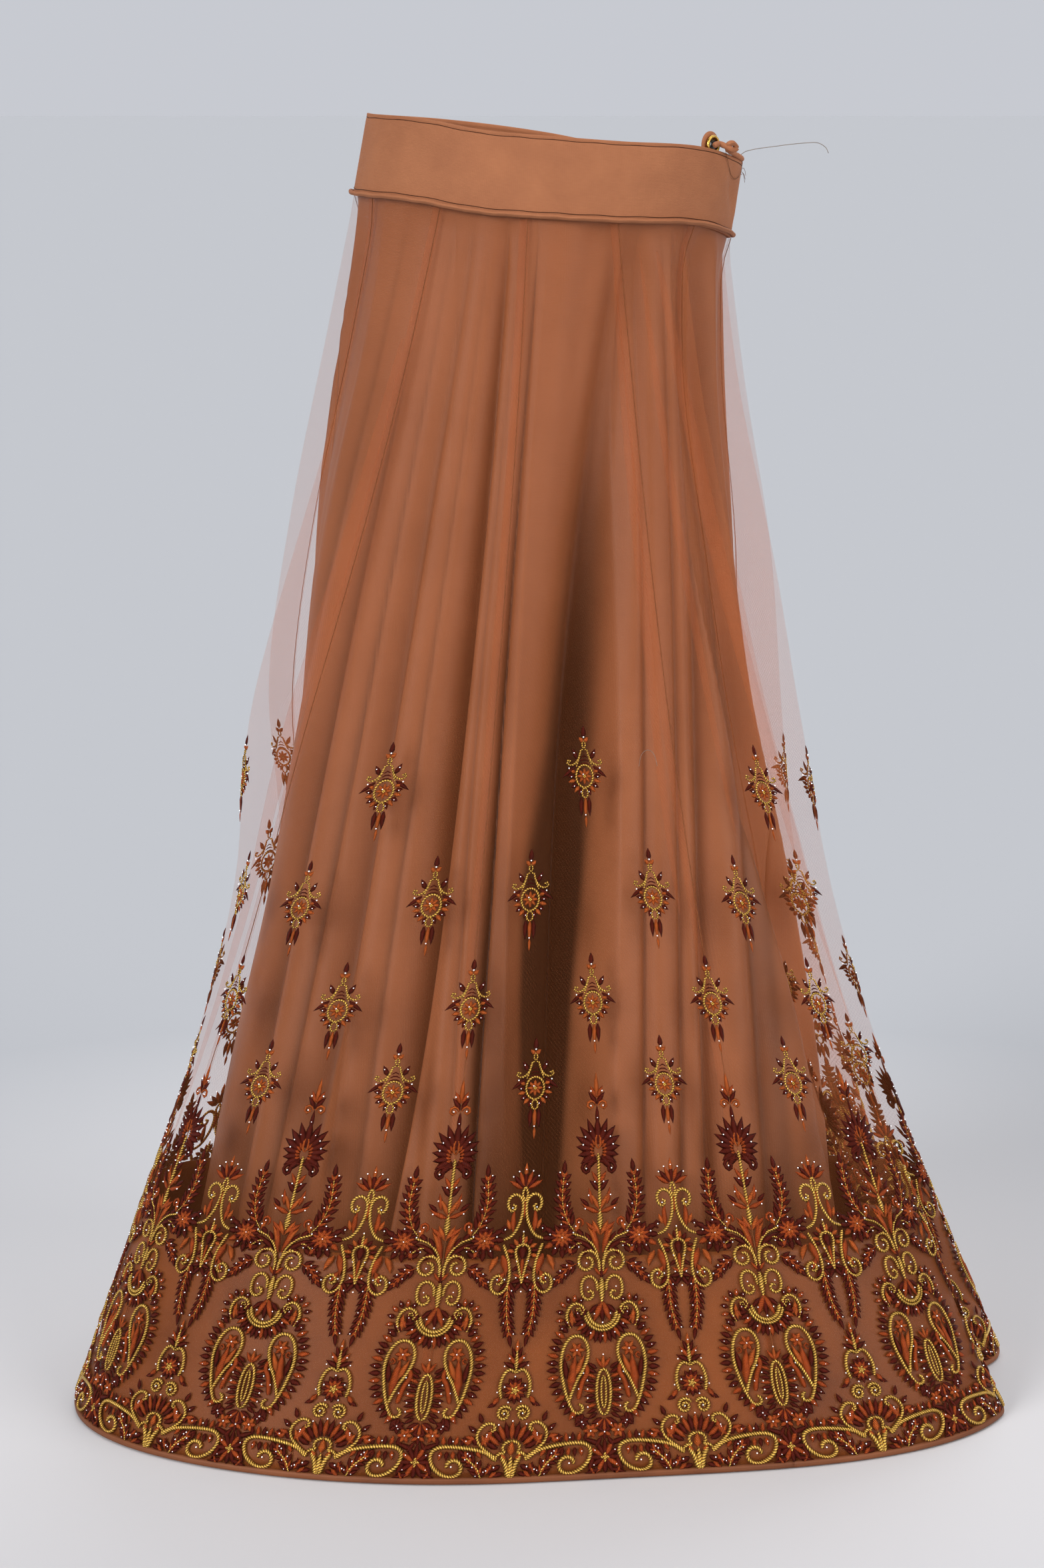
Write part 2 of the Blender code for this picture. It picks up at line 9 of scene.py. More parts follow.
import bpy
import numpy as np
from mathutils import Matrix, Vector


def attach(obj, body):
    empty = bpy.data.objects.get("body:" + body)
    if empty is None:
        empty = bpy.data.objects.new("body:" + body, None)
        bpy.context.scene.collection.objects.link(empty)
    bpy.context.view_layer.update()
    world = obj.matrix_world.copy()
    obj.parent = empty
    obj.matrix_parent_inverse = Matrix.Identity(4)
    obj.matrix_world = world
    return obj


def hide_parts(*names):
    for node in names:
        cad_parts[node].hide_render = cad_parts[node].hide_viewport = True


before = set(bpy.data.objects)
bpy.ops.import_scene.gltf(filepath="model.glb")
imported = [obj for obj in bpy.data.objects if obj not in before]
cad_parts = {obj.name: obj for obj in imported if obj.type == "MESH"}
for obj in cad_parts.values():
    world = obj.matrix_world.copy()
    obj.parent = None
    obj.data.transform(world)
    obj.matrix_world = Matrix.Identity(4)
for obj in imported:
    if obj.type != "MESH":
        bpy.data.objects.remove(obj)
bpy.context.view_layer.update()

# Sizes that the part has too
FLOOR_DROP = 1.033
KALIS = 12
KALI_TOP = 0.0694
KALI_FLARE = 0.13
KALI_FLARE_GROWTH = 0.106
SEAM_GAP = 0.0003
LAYER_GAP = 0.001
NET_WALL = 0.001
FACING_WALL = 0.0012
FACING_HEIGHT = 0.175
BINDING_HEIGHT = 0.005
BAND_WALL = 0.0024
PIPING_RADIUS = 0.0018
PIPING_RISE = 0.035
LINING_CLEARANCE_AT_BAND = 0.002
LINING_CLEARANCE_AT_HEM = 0.016
LINING_LIFT = 0.022
BUTTON_RADIUS = 0.008
BUTTON_BEARING = 67.0
BUTTON_RISE = 0.004
RIM_HALF = 0.0016
TAB_WIDTH = 0.021
TAB_FOOT = 0.022
TAB_WALL = 0.0022
LOOP_RADIUS = 0.0024
LOOP_AND_KNOT = (
    (85.0, 0.0021, 0.0), (81.0, 0.002, 0.0003), (77.0, 0.0019, 0.0006), (73.5, 0.0021, 0.001),
    (70.6, 0.0028, 0.002), (69.6, 0.0058, 0.0036), (71.4, 0.0078, 0.0048), (73.0, 0.005, 0.0052),
    (71.4, 0.0028, 0.0048), (69.8, 0.0034, 0.004),
)
LOOP_ON_BUTTON = ((0.003, 0.001), (-0.0015, 0.0006), (-0.0045, -0.0004))
BAND_LEVELS = {
    "bearing": (-90, -50, -25, 0, 30, 58, 90, 135, 180, 225, 270),
    "low": (-0.045, -0.048, -0.056, -0.0595, -0.063, -0.066, -0.079, -0.075, -0.061, -0.051, -0.045),
    "top": (0.018, 0.015, 0.007, 0.003, -0.0015, -0.0055, -0.021, -0.015, 0.001, 0.012, 0.018),
}
BAND_MEAN_LOW = -0.062
BAND_LOW = {"left": 0.151, "right": 0.1455, "front": 0.115, "back": 0.115}
BAND_TOP = {"left": 0.1395, "right": 0.1545, "front": 0.108, "back": 0.108}
CLOSURE_BEARING = 88.0
SIDE_SEAM_BEARING = -91.0
NET_PLAN = {
    "fall": (0.0, 0.12, 0.25, 0.4, 0.55, 0.7, 0.85, 1.0),
    "left": (0.151, 0.175, 0.205, 0.236, 0.25, 0.288, 0.339, 0.39),
    "right": (0.146, 0.162, 0.186, 0.206, 0.233, 0.277, 0.332, 0.392),
    "front": (0.115, 0.12, 0.127, 0.135, 0.147, 0.163, 0.184, 0.206),
    "back": (0.115, 0.14, 0.174, 0.219, 0.271, 0.33, 0.393, 0.46),
    "square": (2.0, 2.05, 2.1, 2.2, 2.3, 2.35, 2.35, 2.35),
    "seam_c_x": (-0.014, -0.02, -0.0285, -0.04, -0.052, -0.065, -0.082, -0.102),
}
LINING_PLAN = {
    "fall": (0.0, 0.12, 0.25, 0.4, 0.55, 0.7, 0.85, 1.0),
    "left": (0.1485, 0.1715, 0.187, 0.2035, 0.227, 0.261, 0.293, 0.325),
    "right": (0.143, 0.147, 0.157, 0.1745, 0.2045, 0.23, 0.2445, 0.26),
    "front": (0.1125, 0.116, 0.121, 0.126, 0.135, 0.147, 0.16, 0.174),
    "back": (0.1125, 0.128, 0.146, 0.165, 0.186, 0.209, 0.232, 0.255),
    "square": (2.0, 2.05, 2.1, 2.1, 2.15, 2.2, 2.2, 2.2),
}
SWING = 0.013
# Falls of hip, knee and hem
FLUTE_FALLS = (0.12, 0.5, 1.0)
# One row for each seam: share of the flutes' depth at hip, knee and hem, place of the ridge in the
# kali after it, and spare width of that kali at the knee
FLUTES = (
    (0.0, 0.0, 0.0, 0.5, 0.1),
    (0.0, 0.0, 0.0, 0.5, 0.0),
    (0.0, 0.0, 0.0, 0.8, 0.0),
    (1.1, 0.66, 0.46, 0.44, 0.0),
    (0.9, 0.85, 0.92, 0.53, 0.0),
    (0.84, 0.94, 0.92, 0.47, 0.0),
    (0.96, 0.84, 0.84, 0.55, 0.0),
    (0.86, 0.96, 0.94, 0.48, 0.0),
    (0.96, 0.82, 0.84, 0.52, 0.0),
    (0.84, 0.96, 0.94, 0.45, 0.0),
    (0.92, 0.85, 0.88, 0.5, 0.0),
    (0.6, 0.5, 0.72, 0.5, 0.0),
)
# side, x at band, knee and hem, half width and depth at band, knee and hem
LINING_FOLDS = (
    (1, 0.04, 0.01, -0.01, 0.014, 0.03, 0.026, 0.004, 0.03, 0.034),
    (1, -0.027, -0.08, -0.145, 0.008, 0.013, 0.018, 0.003, 0.014, 0.018),
    (1, -0.056, -0.14, -0.235, 0.008, 0.012, 0.018, 0.002, 0.01, 0.016),
    (1, 0.105, 0.132, 0.165, 0.008, 0.013, 0.02, 0.002, 0.01, 0.014),
    (-1, -0.07, -0.115, -0.17, 0.014, 0.026, 0.034, 0.003, 0.022, 0.034),
    (-1, -0.006, 0.004, 0.016, 0.014, 0.028, 0.04, 0.004, 0.026, 0.04),
    (-1, 0.062, 0.098, 0.14, 0.014, 0.024, 0.032, 0.003, 0.02, 0.03),
)
SIDE_BLEND = 12
LINING_SOFTNESS = 0.004
RIDGE_ROUNDNESS = 1.3
SAMPLES = 24
SETTLE_ROUNDS = 160
STEP_POWER = 0.35
SINK_GAIN = 0.03
SINK_AT_HEM = 0.16
SINK_LIMIT = 0.3
EDGE_TURN = SEAM_GAP / 2 / BAND_TOP["left"]
NEAR_TURNS = np.radians((-6.0, -4.0, -2.0, 0.0, 2.0, 4.0, 6.0))

# Sizes of the finer cloth
SHOWN_NET_WALL = 0.0005
CHART_ROWS = 241
KALI_COLUMNS = 64
NET_ROW_STEP = 5
NET_COLUMN_STEP = 2
SIDES = {"front": (11, 0, 1), "right": (2, 3, 4), "back": (5, 6, 7), "left": (8, 9, 10)}
SKIRT_LENGTH = FLOOR_DROP + BAND_MEAN_LOW
LINING_WALL = 0.001
PIPING_WAVE = 0.0003
TUCK_RISE = 0.06
TUCK_GAP = 0.0005
TAB_EDGE = 0.0008
RIM_THICKNESS = 0.82
RIM_RIBS = 36
RIB_HEIGHT = 0.16
STONE_FACETS = 10
# Rises of the band's two lines of stitches, their radius, and the upper one's groove: depth in
# metres and half width as a rise
TOP_STITCH_RISE = 0.955
LOWER_STITCH_RISE = 0.082
BAND_STITCH_RADIUS = 0.0003
GROOVE_DEPTH = 0.00045
GROOVE_HALF = 0.01
# Stitches down the net's seams: radius, and height of their middle over the net
STITCH_RADIUS = 0.00028
STITCH_LIFT = 0.00025
# How deep embroidery is sunk in the net, and the height and row step of its chart
STITCH_DEPTH = 0.0002
MOTIF_TOP = 0.64
MOTIF_ROW = 0.004
# Width that a thread's pattern takes round it, and round each side of the folded hem
TUBE_PATTERN = 0.01
HEM_PATTERN = 0.0015
# Creases start within this fall of the band; their depth is a parabola of the fall; then the width
# of creases and valleys at the band, and how much of it is added down to the hem
CREASE_START = 0.025
CREASE_GROWTH = (0.22, 2.0, -0.6)
CREASE_SPREAD = (0.4, 1.3)
VALLEY_SPREAD = (0.4, 0.95)
# How round a crease's line is, how fast its flanks die away, and how square a valley is
CREASE_TIP = 0.22
CREASE_FADE = 1.4
VALLEY_POWER = 2.6
# Shares of the wide and of the narrow shade beside a crease
CREASE_SHADES = (0.35, 0.95)
FLOOR_HALF = 60.0
FLOOR_GAP = 0.0006
CAMERA_PLACE = (-0.0184, -2.94, 0.067)
CAMERA_TILT = 11.23

# Soft troughs and ridges of the net: place across in kalis at band and hem, start and end fall,
# half width in metres, height outwards in metres
NET_RIPPLES = (
    (0.3, 0.34, 0.05, 0.62, 0.011, 0.0022),
    (0.62, 0.6, 0.1, 0.85, 0.014, -0.002),
    (0.82, 0.8, 0.02, 0.55, 0.008, 0.0016),
    (1.28, 1.32, 0.04, 0.7, 0.01, 0.002),
    (1.52, 1.5, 0.12, 0.6, 0.016, -0.0024),
    (1.74, 1.72, 0.03, 0.48, 0.008, 0.0018),
    (2.45, 2.86, 0.03, 0.62, 0.0055, 0.005),
    (2.2, 2.4, 0.1, 0.72, 0.013, -0.0022),
    (2.62, 2.6, 0.3, 0.9, 0.014, 0.002),
    (3.4, 3.44, 0.08, 0.8, 0.01, 0.002),
    (4.6, 4.55, 0.1, 0.85, 0.012, -0.002),
    (5.35, 5.4, 0.05, 0.7, 0.01, 0.0022),
    (6.62, 6.66, 0.12, 0.9, 0.012, -0.002),
    (7.3, 7.34, 0.06, 0.75, 0.011, 0.002),
    (8.6, 8.56, 0.1, 0.8, 0.012, 0.0022),
    (9.38, 9.4, 0.15, 0.85, 0.01, -0.0018),
    (10.55, 10.6, 0.05, 0.8, 0.012, 0.002),
    (11.45, 11.5, 0.06, 0.7, 0.012, 0.0024),
    (11.8, 11.7, 0.2, 0.95, 0.01, -0.0018),
)
# Sharp creases of the lining: side, x at band, knee and hem, half width at the knee to the left and
# to the right of the line, depth at the knee, shade of its left flank
LINING_CREASES = (
    (1, -0.028, -0.08, -0.178, 0.023, 0.0035, 0.019, 0.58),
    (1, -0.004, -0.04, -0.08, 0.009, 0.0035, 0.013, 0.9),
    (1, -0.053, -0.138, -0.262, 0.027, 0.008, 0.01, 0.34),
    (1, -0.068, -0.16, -0.285, 0.008, 0.005, 0.006, 0.4),
    (1, -0.084, -0.186, -0.31, 0.016, 0.009, 0.012, 0.45),
    (1, -0.104, -0.216, -0.35, 0.016, 0.01, 0.01, 0.4),
    (1, 0.004, -0.027, -0.038, 0.006, 0.006, -0.008, 0.0),
    (1, -0.04, -0.108, -0.2, 0.007, 0.005, 0.004, 0.3),
    (1, -0.014, -0.06, -0.09, 0.006, 0.0035, 0.005, 0.2),
    (1, 0.06, 0.061, 0.054, 0.008, 0.008, -0.008, 0.0),
    (1, 0.073, 0.084, 0.084, 0.009, 0.005, 0.011, 0.3),
    (1, 0.09, 0.112, 0.122, 0.011, 0.006, 0.011, 0.25),
    (1, 0.108, 0.137, 0.16, 0.012, 0.006, 0.012, 0.3),
    (1, 0.126, 0.166, 0.212, 0.014, 0.007, 0.01, 0.25),
    (1, 0.144, 0.176, 0.228, 0.028, 0.014, 0.005, 0.38),
    (-1, -0.1, -0.16, -0.235, 0.01, 0.02, 0.014, 0.4),
    (-1, -0.036, -0.055, -0.075, 0.008, 0.018, 0.012, 0.45),
    (-1, 0.03, 0.048, 0.078, 0.016, 0.008, 0.014, 0.45),
    (-1, 0.062, 0.096, 0.134, 0.012, 0.018, 0.015, 0.5),
    (-1, 0.1, 0.152, 0.205, 0.01, 0.02, 0.012, 0.4),
    (-1, -0.126, -0.196, -0.285, 0.012, 0.016, 0.01, 0.35),
)
# The deep valleys: side, x at band, knee and hem, half width at the knee, depth at the knee, shade
LINING_VALLEYS = (
    (1, 0.069, 0.0285, -0.0235, 0.035, 0.05, 0.25),
    (-1, -0.068, -0.112, -0.165, 0.02, 0.022, 0.7),
    (-1, -0.004, 0.006, 0.018, 0.022, 0.026, 0.8),
)
# Deep shadows on the lining's front, seen through the net: rows of fall, left edge, right edge,
# width over which the edges fade, darkness
LINING_SHADOWS = (
    (
        (0.0, 0.056, 0.07, 0.005, 0.04),
        (0.19, 0.026, 0.0464, 0.005, 0.45),
        (0.3, 0.017, 0.0438, 0.0045, 0.75),
        (0.41, 0.0031, 0.0376, 0.0035, 0.92),
        (0.52, -0.0174, 0.0308, 0.0018, 1.0),
        (0.63, -0.0199, 0.0206, 0.0013, 1.0),
        (0.74, -0.0189, 0.0144, 0.0013, 1.0),
        (0.82, -0.0153, 0.0088, 0.0013, 1.0),
        (1.0, -0.025, -0.006, 0.002, 1.0),
    ),
    (
        (0.48, -0.045, -0.015, 0.004, 0.0),
        (0.58, -0.057, -0.0185, 0.004, 0.34),
        (0.68, -0.059, -0.019, 0.004, 0.5),
        (0.82, -0.059, -0.0155, 0.004, 0.6),
        (1.0, -0.059, -0.02, 0.004, 0.6),
    ),
)
# Places where the net folds over itself: place across in kalis at band and hem, start and end
# fall, width in metres; then how deep behind the net the doubled strip lies
NET_FOLDS = (
    (2.43, 2.86, 0.02, 0.66, 0.015),
    (2.22, 2.36, 0.02, 0.5, 0.007),
    (1.92, 1.92, 0.03, 0.55, 0.008),
    (11.9, 11.86, 0.1, 0.78, 0.017),
    (5.42, 5.3, 0.04, 0.5, 0.012),
    (6.4, 6.55, 0.05, 0.6, 0.013),
    (7.55, 7.42, 0.03, 0.48, 0.01),
    (8.72, 8.6, 0.05, 0.6, 0.012),
    (9.5, 9.62, 0.04, 0.55, 0.01),
)
NET_FOLD_DEPTHS = (0.0011, 0.0014)
# How far the doubled strip goes to one side of a seam and to the other, and how deep it lies
SEAM_ALLOWANCE = (0.0062, 0.003, 0.0)
SEAM_OVERLAP = 0.0014
SEAM_DEPTHS = (0.00062, 0.00092)
# Crumples of the band: bearing, rise, half width in degrees, half height, slant, height in metres
BAND_CRUMPLES = (
    (79.0, 0.56, 3.2, 0.24, -9.0, -0.003),
    (84.0, 0.3, 2.2, 0.22, 5.0, 0.0012),
    (70.0, 0.62, 4.0, 0.3, 8.0, 0.0009),
    (58.0, 0.35, 5.0, 0.25, -10.0, -0.0007),
    (38.0, 0.55, 7.0, 0.22, 16.0, 0.0007),
    (21.0, 0.4, 6.0, 0.3, -12.0, -0.0007),
    (2.0, 0.62, 8.0, 0.2, 15.0, 0.0006),
    (-14.0, 0.35, 5.0, 0.3, -8.0, -0.0006),
    (-33.0, 0.55, 6.0, 0.35, 10.0, 0.0008),
    (-52.0, 0.6, 4.0, 0.45, -6.0, -0.0009),
    (-70.0, 0.45, 5.0, 0.35, 7.0, 0.0008),
    (105.0, 0.5, 7.0, 0.3, 9.0, 0.0008),
    (140.0, 0.45, 9.0, 0.25, -14.0, -0.0008),
    (176.0, 0.6, 8.0, 0.3, 12.0, 0.0008),
    (212.0, 0.4, 9.0, 0.28, -10.0, -0.0008),
    (243.0, 0.55, 7.0, 0.35, 10.0, 0.0009),
)
# The folded hem's section: place outwards from the net, and height over the floor
HEM_FOLD = (
    (0.0007, 0.0052), (0.001, 0.003), (0.0006, 0.0008), (-0.0012, 0.0),
    (-0.0031, 0.0008), (-0.0034, 0.003), (-0.0031, 0.0052), (-0.0012, 0.0056),
)
# The cut stone's rings: share of its radius, and place outwards
STONE_RINGS = (
    (0.05, -0.0014), (1.0, -0.0012), (1.0, 0.0002), (0.72, 0.0014), (0.34, 0.0019), (0.02, 0.0019),
)
# Loose threads. The long one: bearing of its knot, its width, and sideways and upward places from
# the knot
KNOT_BEARING = 83.0
LOOSE_THREAD_WIDTH = 0.00056
LOOSE_THREAD = (
    (0, 0), (0.0022, 0.0018), (0.0055, 0.0036), (0.014, 0.0054), (0.026, 0.007), (0.038, 0.0086),
    (0.05, 0.0098), (0.06, 0.01), (0.0665, 0.0066), (0.069, 0.002),
)
# The one over the band's edge by bearing and rise, and the one on the net by kalis and fall
THREAD_OVER_EDGE = ((70.0, 1.0), (72.5, 0.86), (76.0, 0.76), (80.0, 0.74), (83.5, 0.84), (85.5, 0.96))
THREAD_ON_NET = (
    (1.795, 0.426), (1.812, 0.418), (1.838, 0.4135), (1.868, 0.4135), (1.888, 0.418), (1.897, 0.426),
)
# The short ones at the closure: bearing and rise of the foot, and lean
SHORT_THREADS = ((87.2, 0.93, 0.4), (87.6, 0.84, -0.3), (87.0, 0.88, 0.9))


def smooth_table(table, column, fall, key="fall"):
    """A smooth curve through a table's column: a cubic between rows, with mean slopes at them."""
    at = np.asarray(table[key])
    value = np.asarray(table[column])
    slope = np.gradient(value, at)
    fall = np.clip(np.asarray(fall, float), at[0], at[-1])
    row = np.clip(np.searchsorted(at, fall, side="right") - 1, 0, len(at) - 2)
    step = at[row + 1] - at[row]
    s = (fall - at[row]) / step
    start = (1 + 2 * s) * (1 - s) ** 2 * value[row] + s * (1 - s) ** 2 * step * slope[row]
    end = s**2 * (3 - 2 * s) * value[row + 1] + s**2 * (s - 1) * step * slope[row + 1]
    return start + end


def three_way(fall, first, middle, last, knee=0.45):
    """The parabola through a value at the band, one at the knee and one at the hem."""
    bend = ((last - first) - (middle - first) / knee) / (1 - knee)
    return first + ((middle - first) / knee - bend * knee) * fall + bend * fall**2


def reach(bearing, left, right, front, back, square):
    """Distance from the axis to a plan whose four quarters are superellipse arcs."""
    side = np.where(np.sin(bearing) < 0, left, right)
    depth = np.where(np.cos(bearing) > 0, front, back)
    total = np.abs(np.sin(bearing) / side) ** square + np.abs(np.cos(bearing) / depth) ** square
    return total ** (-1 / square)


def plan_reach(table, bearing, fall):
    sizes = (smooth_table(table, name, fall) for name in ("left", "right", "front", "back", "square"))
    return reach(bearing, *sizes)


def band_height(bearing, edge):
    degrees = np.mod(np.degrees(bearing) + 90, 360) - 90
    return smooth_table(BAND_LEVELS, edge, degrees, "bearing")


def height(bearing, fall):
    top = band_height(bearing, "low") - SEAM_GAP
    return top + (-FLOOR_DROP - top) * fall


def place(bearing, distance, level):
    return np.stack([distance * np.sin(bearing), -distance * np.cos(bearing), level], axis=-1)


def net_plan_reach(bearing, fall):
    return plan_reach(NET_PLAN, bearing, fall) - SWING * fall**2 * np.sin(2 * bearing)


def kali_widths(falls, at_band):
    """Cut width of every kali at each fall."""
    width = at_band + KALI_FLARE * falls + KALI_FLARE_GROWTH * falls**2
    spare = np.array([row[4] for row in FLUTES])
    return width[:, None] * (1 + spare * 4 * (falls * (1 - falls))[:, None])


def kali_cut(fall):
    """Cut width of a plain kali at a fall."""
    return KALI_TOP + KALI_FLARE * fall + KALI_FLARE_GROWTH * fall**2


def flute_shares(fall):
    """How deep each seam sinks at each fall, one column for each seam, from hip, knee and hem."""
    rows = [np.interp(fall, FLUTE_FALLS, row[:3]) for row in FLUTES]
    return np.stack(rows, axis=-1)


def flute_profile(part, ridge, sink_before, sink_after):
    """Depth below the ridge across a kali: two half cosine waves that meet on a round ridge."""
    rising = (1 + np.cos(np.pi * np.clip(part / ridge, 0, 1))) / 2
    falling = (1 - np.cos(np.pi * np.clip((part - ridge) / (1 - ridge), 0, 1))) / 2
    return sink_before * rising**RIDGE_ROUNDNESS + sink_after * falling**RIDGE_ROUNDNESS


def kali_curves(falls, steps, sink, shares, parts):
    """Points of every kali at each fall: (falls, kalis, parts, 3)."""
    seams = np.concatenate([np.zeros((len(falls), 1)), np.cumsum(steps, axis=1)], axis=1)
    ridge = np.array([row[3] for row in FLUTES])[None, :, None]
    front_seam = smooth_table(NET_PLAN, "seam_c_x", falls)
    front_reach = net_plan_reach(np.zeros(len(falls)), falls)
    anchor = np.arctan2(front_seam, front_reach) - seams[:, 1]
    bearing = (
        anchor[:, None, None]
        + seams[:, :-1, None]
        + steps[:, :, None] * parts[None, None, :]
    )
    fall = np.broadcast_to(falls[:, None, None], bearing.shape)
    before = (sink[:, None] * shares)[:, :, None]
    after = np.roll(before, -1, axis=1)
    distance = net_plan_reach(bearing, fall)
    distance = distance - flute_profile(parts[None, None, :], ridge, before, after)
    return place(bearing, distance, height(bearing, fall))


def settle_kalis(falls):
    """Bearing steps and the flutes' depth at each fall, so that every kali has its own cut width."""
    parts = np.linspace(0, 1, SAMPLES + 1)
    round_band = np.linspace(0, 2 * np.pi, 721)
    band = place(round_band, reach(round_band, *BAND_LOW.values(), 2.0), 0 * round_band)
    at_band = np.linalg.norm(np.diff(band, axis=0), axis=1).sum() / KALIS
    width = kali_widths(falls, at_band)
    shares = flute_shares(falls)
    steps = np.full((len(falls), KALIS), 2 * np.pi / KALIS)
    sink = SINK_AT_HEM * falls
    for _ in range(SETTLE_ROUNDS):
        points = kali_curves(falls, steps, sink, shares, parts)
        lengths = np.linalg.norm(np.diff(points[..., :2], axis=2), axis=-1).sum(axis=2)
        steps = steps * (width / lengths) ** STEP_POWER
        steps = steps * (2 * np.pi / steps.sum(axis=1, keepdims=True))
        sink = np.clip(sink + SINK_GAIN * (width - lengths).sum(axis=1), 0, SINK_LIMIT)
    return steps, sink, shares


def read_columns(at, places, table):
    """Each column of a table whose rows stand at the given places, read at other places."""
    return np.stack([np.interp(at, places, column) for column in np.transpose(table)], axis=1)


def settled_at(falls):
    """The settled kalis at many falls, read between the falls that were settled."""
    coarse = np.linspace(0, 1, 41)
    steps, sink, _ = settle_kalis(coarse)
    return read_columns(falls, coarse, steps), np.interp(falls, coarse, sink), flute_shares(falls)


def unit(vectors):
    return vectors / np.linalg.norm(vectors, axis=-1, keepdims=True)


def run_along(points):
    """Distance run along a line of points, from 0 at its first."""
    return np.concatenate([[0], np.cumsum(np.linalg.norm(np.diff(points, axis=0), axis=1))])


def tuck_under_band(grid):
    """The cloth's top edge goes on up behind the band, 4 mm, and lies against its inner face."""
    bearing = np.arctan2(grid[0, :, 0], -grid[0, :, 1])
    top = band_point(bearing, TUCK_RISE)
    top[:, :2] *= 1 - (BAND_WALL + TUCK_GAP) / np.hypot(top[:, :1], top[:, 1:2])
    return np.concatenate([top[None], grid])


def surface_normals(grid):
    """Outward normals of a grid whose rows run down and whose columns run to +bearing."""
    return unit(np.cross(np.gradient(grid, axis=0), np.gradient(grid, axis=1)))


def net_surface():
    """The net's outer face all round: every kali at even steps of its own width, then ripples.

    Returns points and normals (rows, KALIS * KALI_COLUMNS + 1, 3), the last column being the first
    one again, and the falls of the rows.
    """
    hem_fall = 1 - (BINDING_HEIGHT + SEAM_GAP) / SKIRT_LENGTH
    falls = np.linspace(0, hem_fall, CHART_ROWS)
    curves = kali_curves(falls, *settled_at(falls), np.linspace(0, 1, 97)).reshape(-1, 97, 3)
    even = np.linspace(0, 1, KALI_COLUMNS + 1)[:-1]
    lengths = [run_along(curve) for curve in curves]
    rows = [read_columns(even * length[-1], length, curve) for length, curve in zip(lengths, curves)]
    ring = np.array(rows).reshape(CHART_ROWS, -1, 3)
    wrapped = np.concatenate([ring[:, -3:], ring, ring[:, :4]], axis=1)
    normals = surface_normals(wrapped)[:, 3:-3]
    points = wrapped[:, 3:-3]
    across = np.arange(points.shape[1]) / KALI_COLUMNS
    lift = net_ripple(across[None, :], falls[:, None])
    points = points + lift[..., None] * normals
    wrapped = np.concatenate([points[:, -4:-1], points, points[:, 1:4]], axis=1)
    return points, surface_normals(wrapped)[:, 3:-3], falls


def net_ripple(across, fall):
    """Sum of soft bells along slanting lines, each faded in and out by a raised cosine."""
    width = kali_cut(fall)
    lift = 0
    for at_band, at_hem, start, end, half, rise in NET_RIPPLES:
        middle = at_band + (at_hem - at_band) * fall
        away = (np.mod(across - middle + KALIS / 2, KALIS) - KALIS / 2) * width
        along = np.clip((fall - start) / (end - start), 0, 1)
        lift = lift + rise * np.sin(np.pi * along) ** 1.5 * np.exp(-((away / half) ** 2))
    return lift


def net_reach_at(bearing, falls, settled):
    """The net's distance from the axis at each bearing, read from its own curves."""
    curves = kali_curves(falls, *settled, np.linspace(0, 1, SAMPLES + 1))
    found = np.empty_like(bearing)
    for row in range(len(falls)):
        points = curves[row].reshape(-1, 3)
        angle = np.unwrap(np.arctan2(points[:, 0], -points[:, 1]))
        distance = np.hypot(points[:, 0], points[:, 1])
        turn = np.mod(bearing[row] - angle[0], 2 * np.pi) + angle[0]
        found[row] = np.interp(turn, angle, distance)
    return found


def on_side(side, bearing):
    """1 on the front if side is 1, or on the back if it is -1, with a soft step at the sides."""
    return 1 / (1 + np.exp(-side * SIDE_BLEND * np.cos(bearing)))


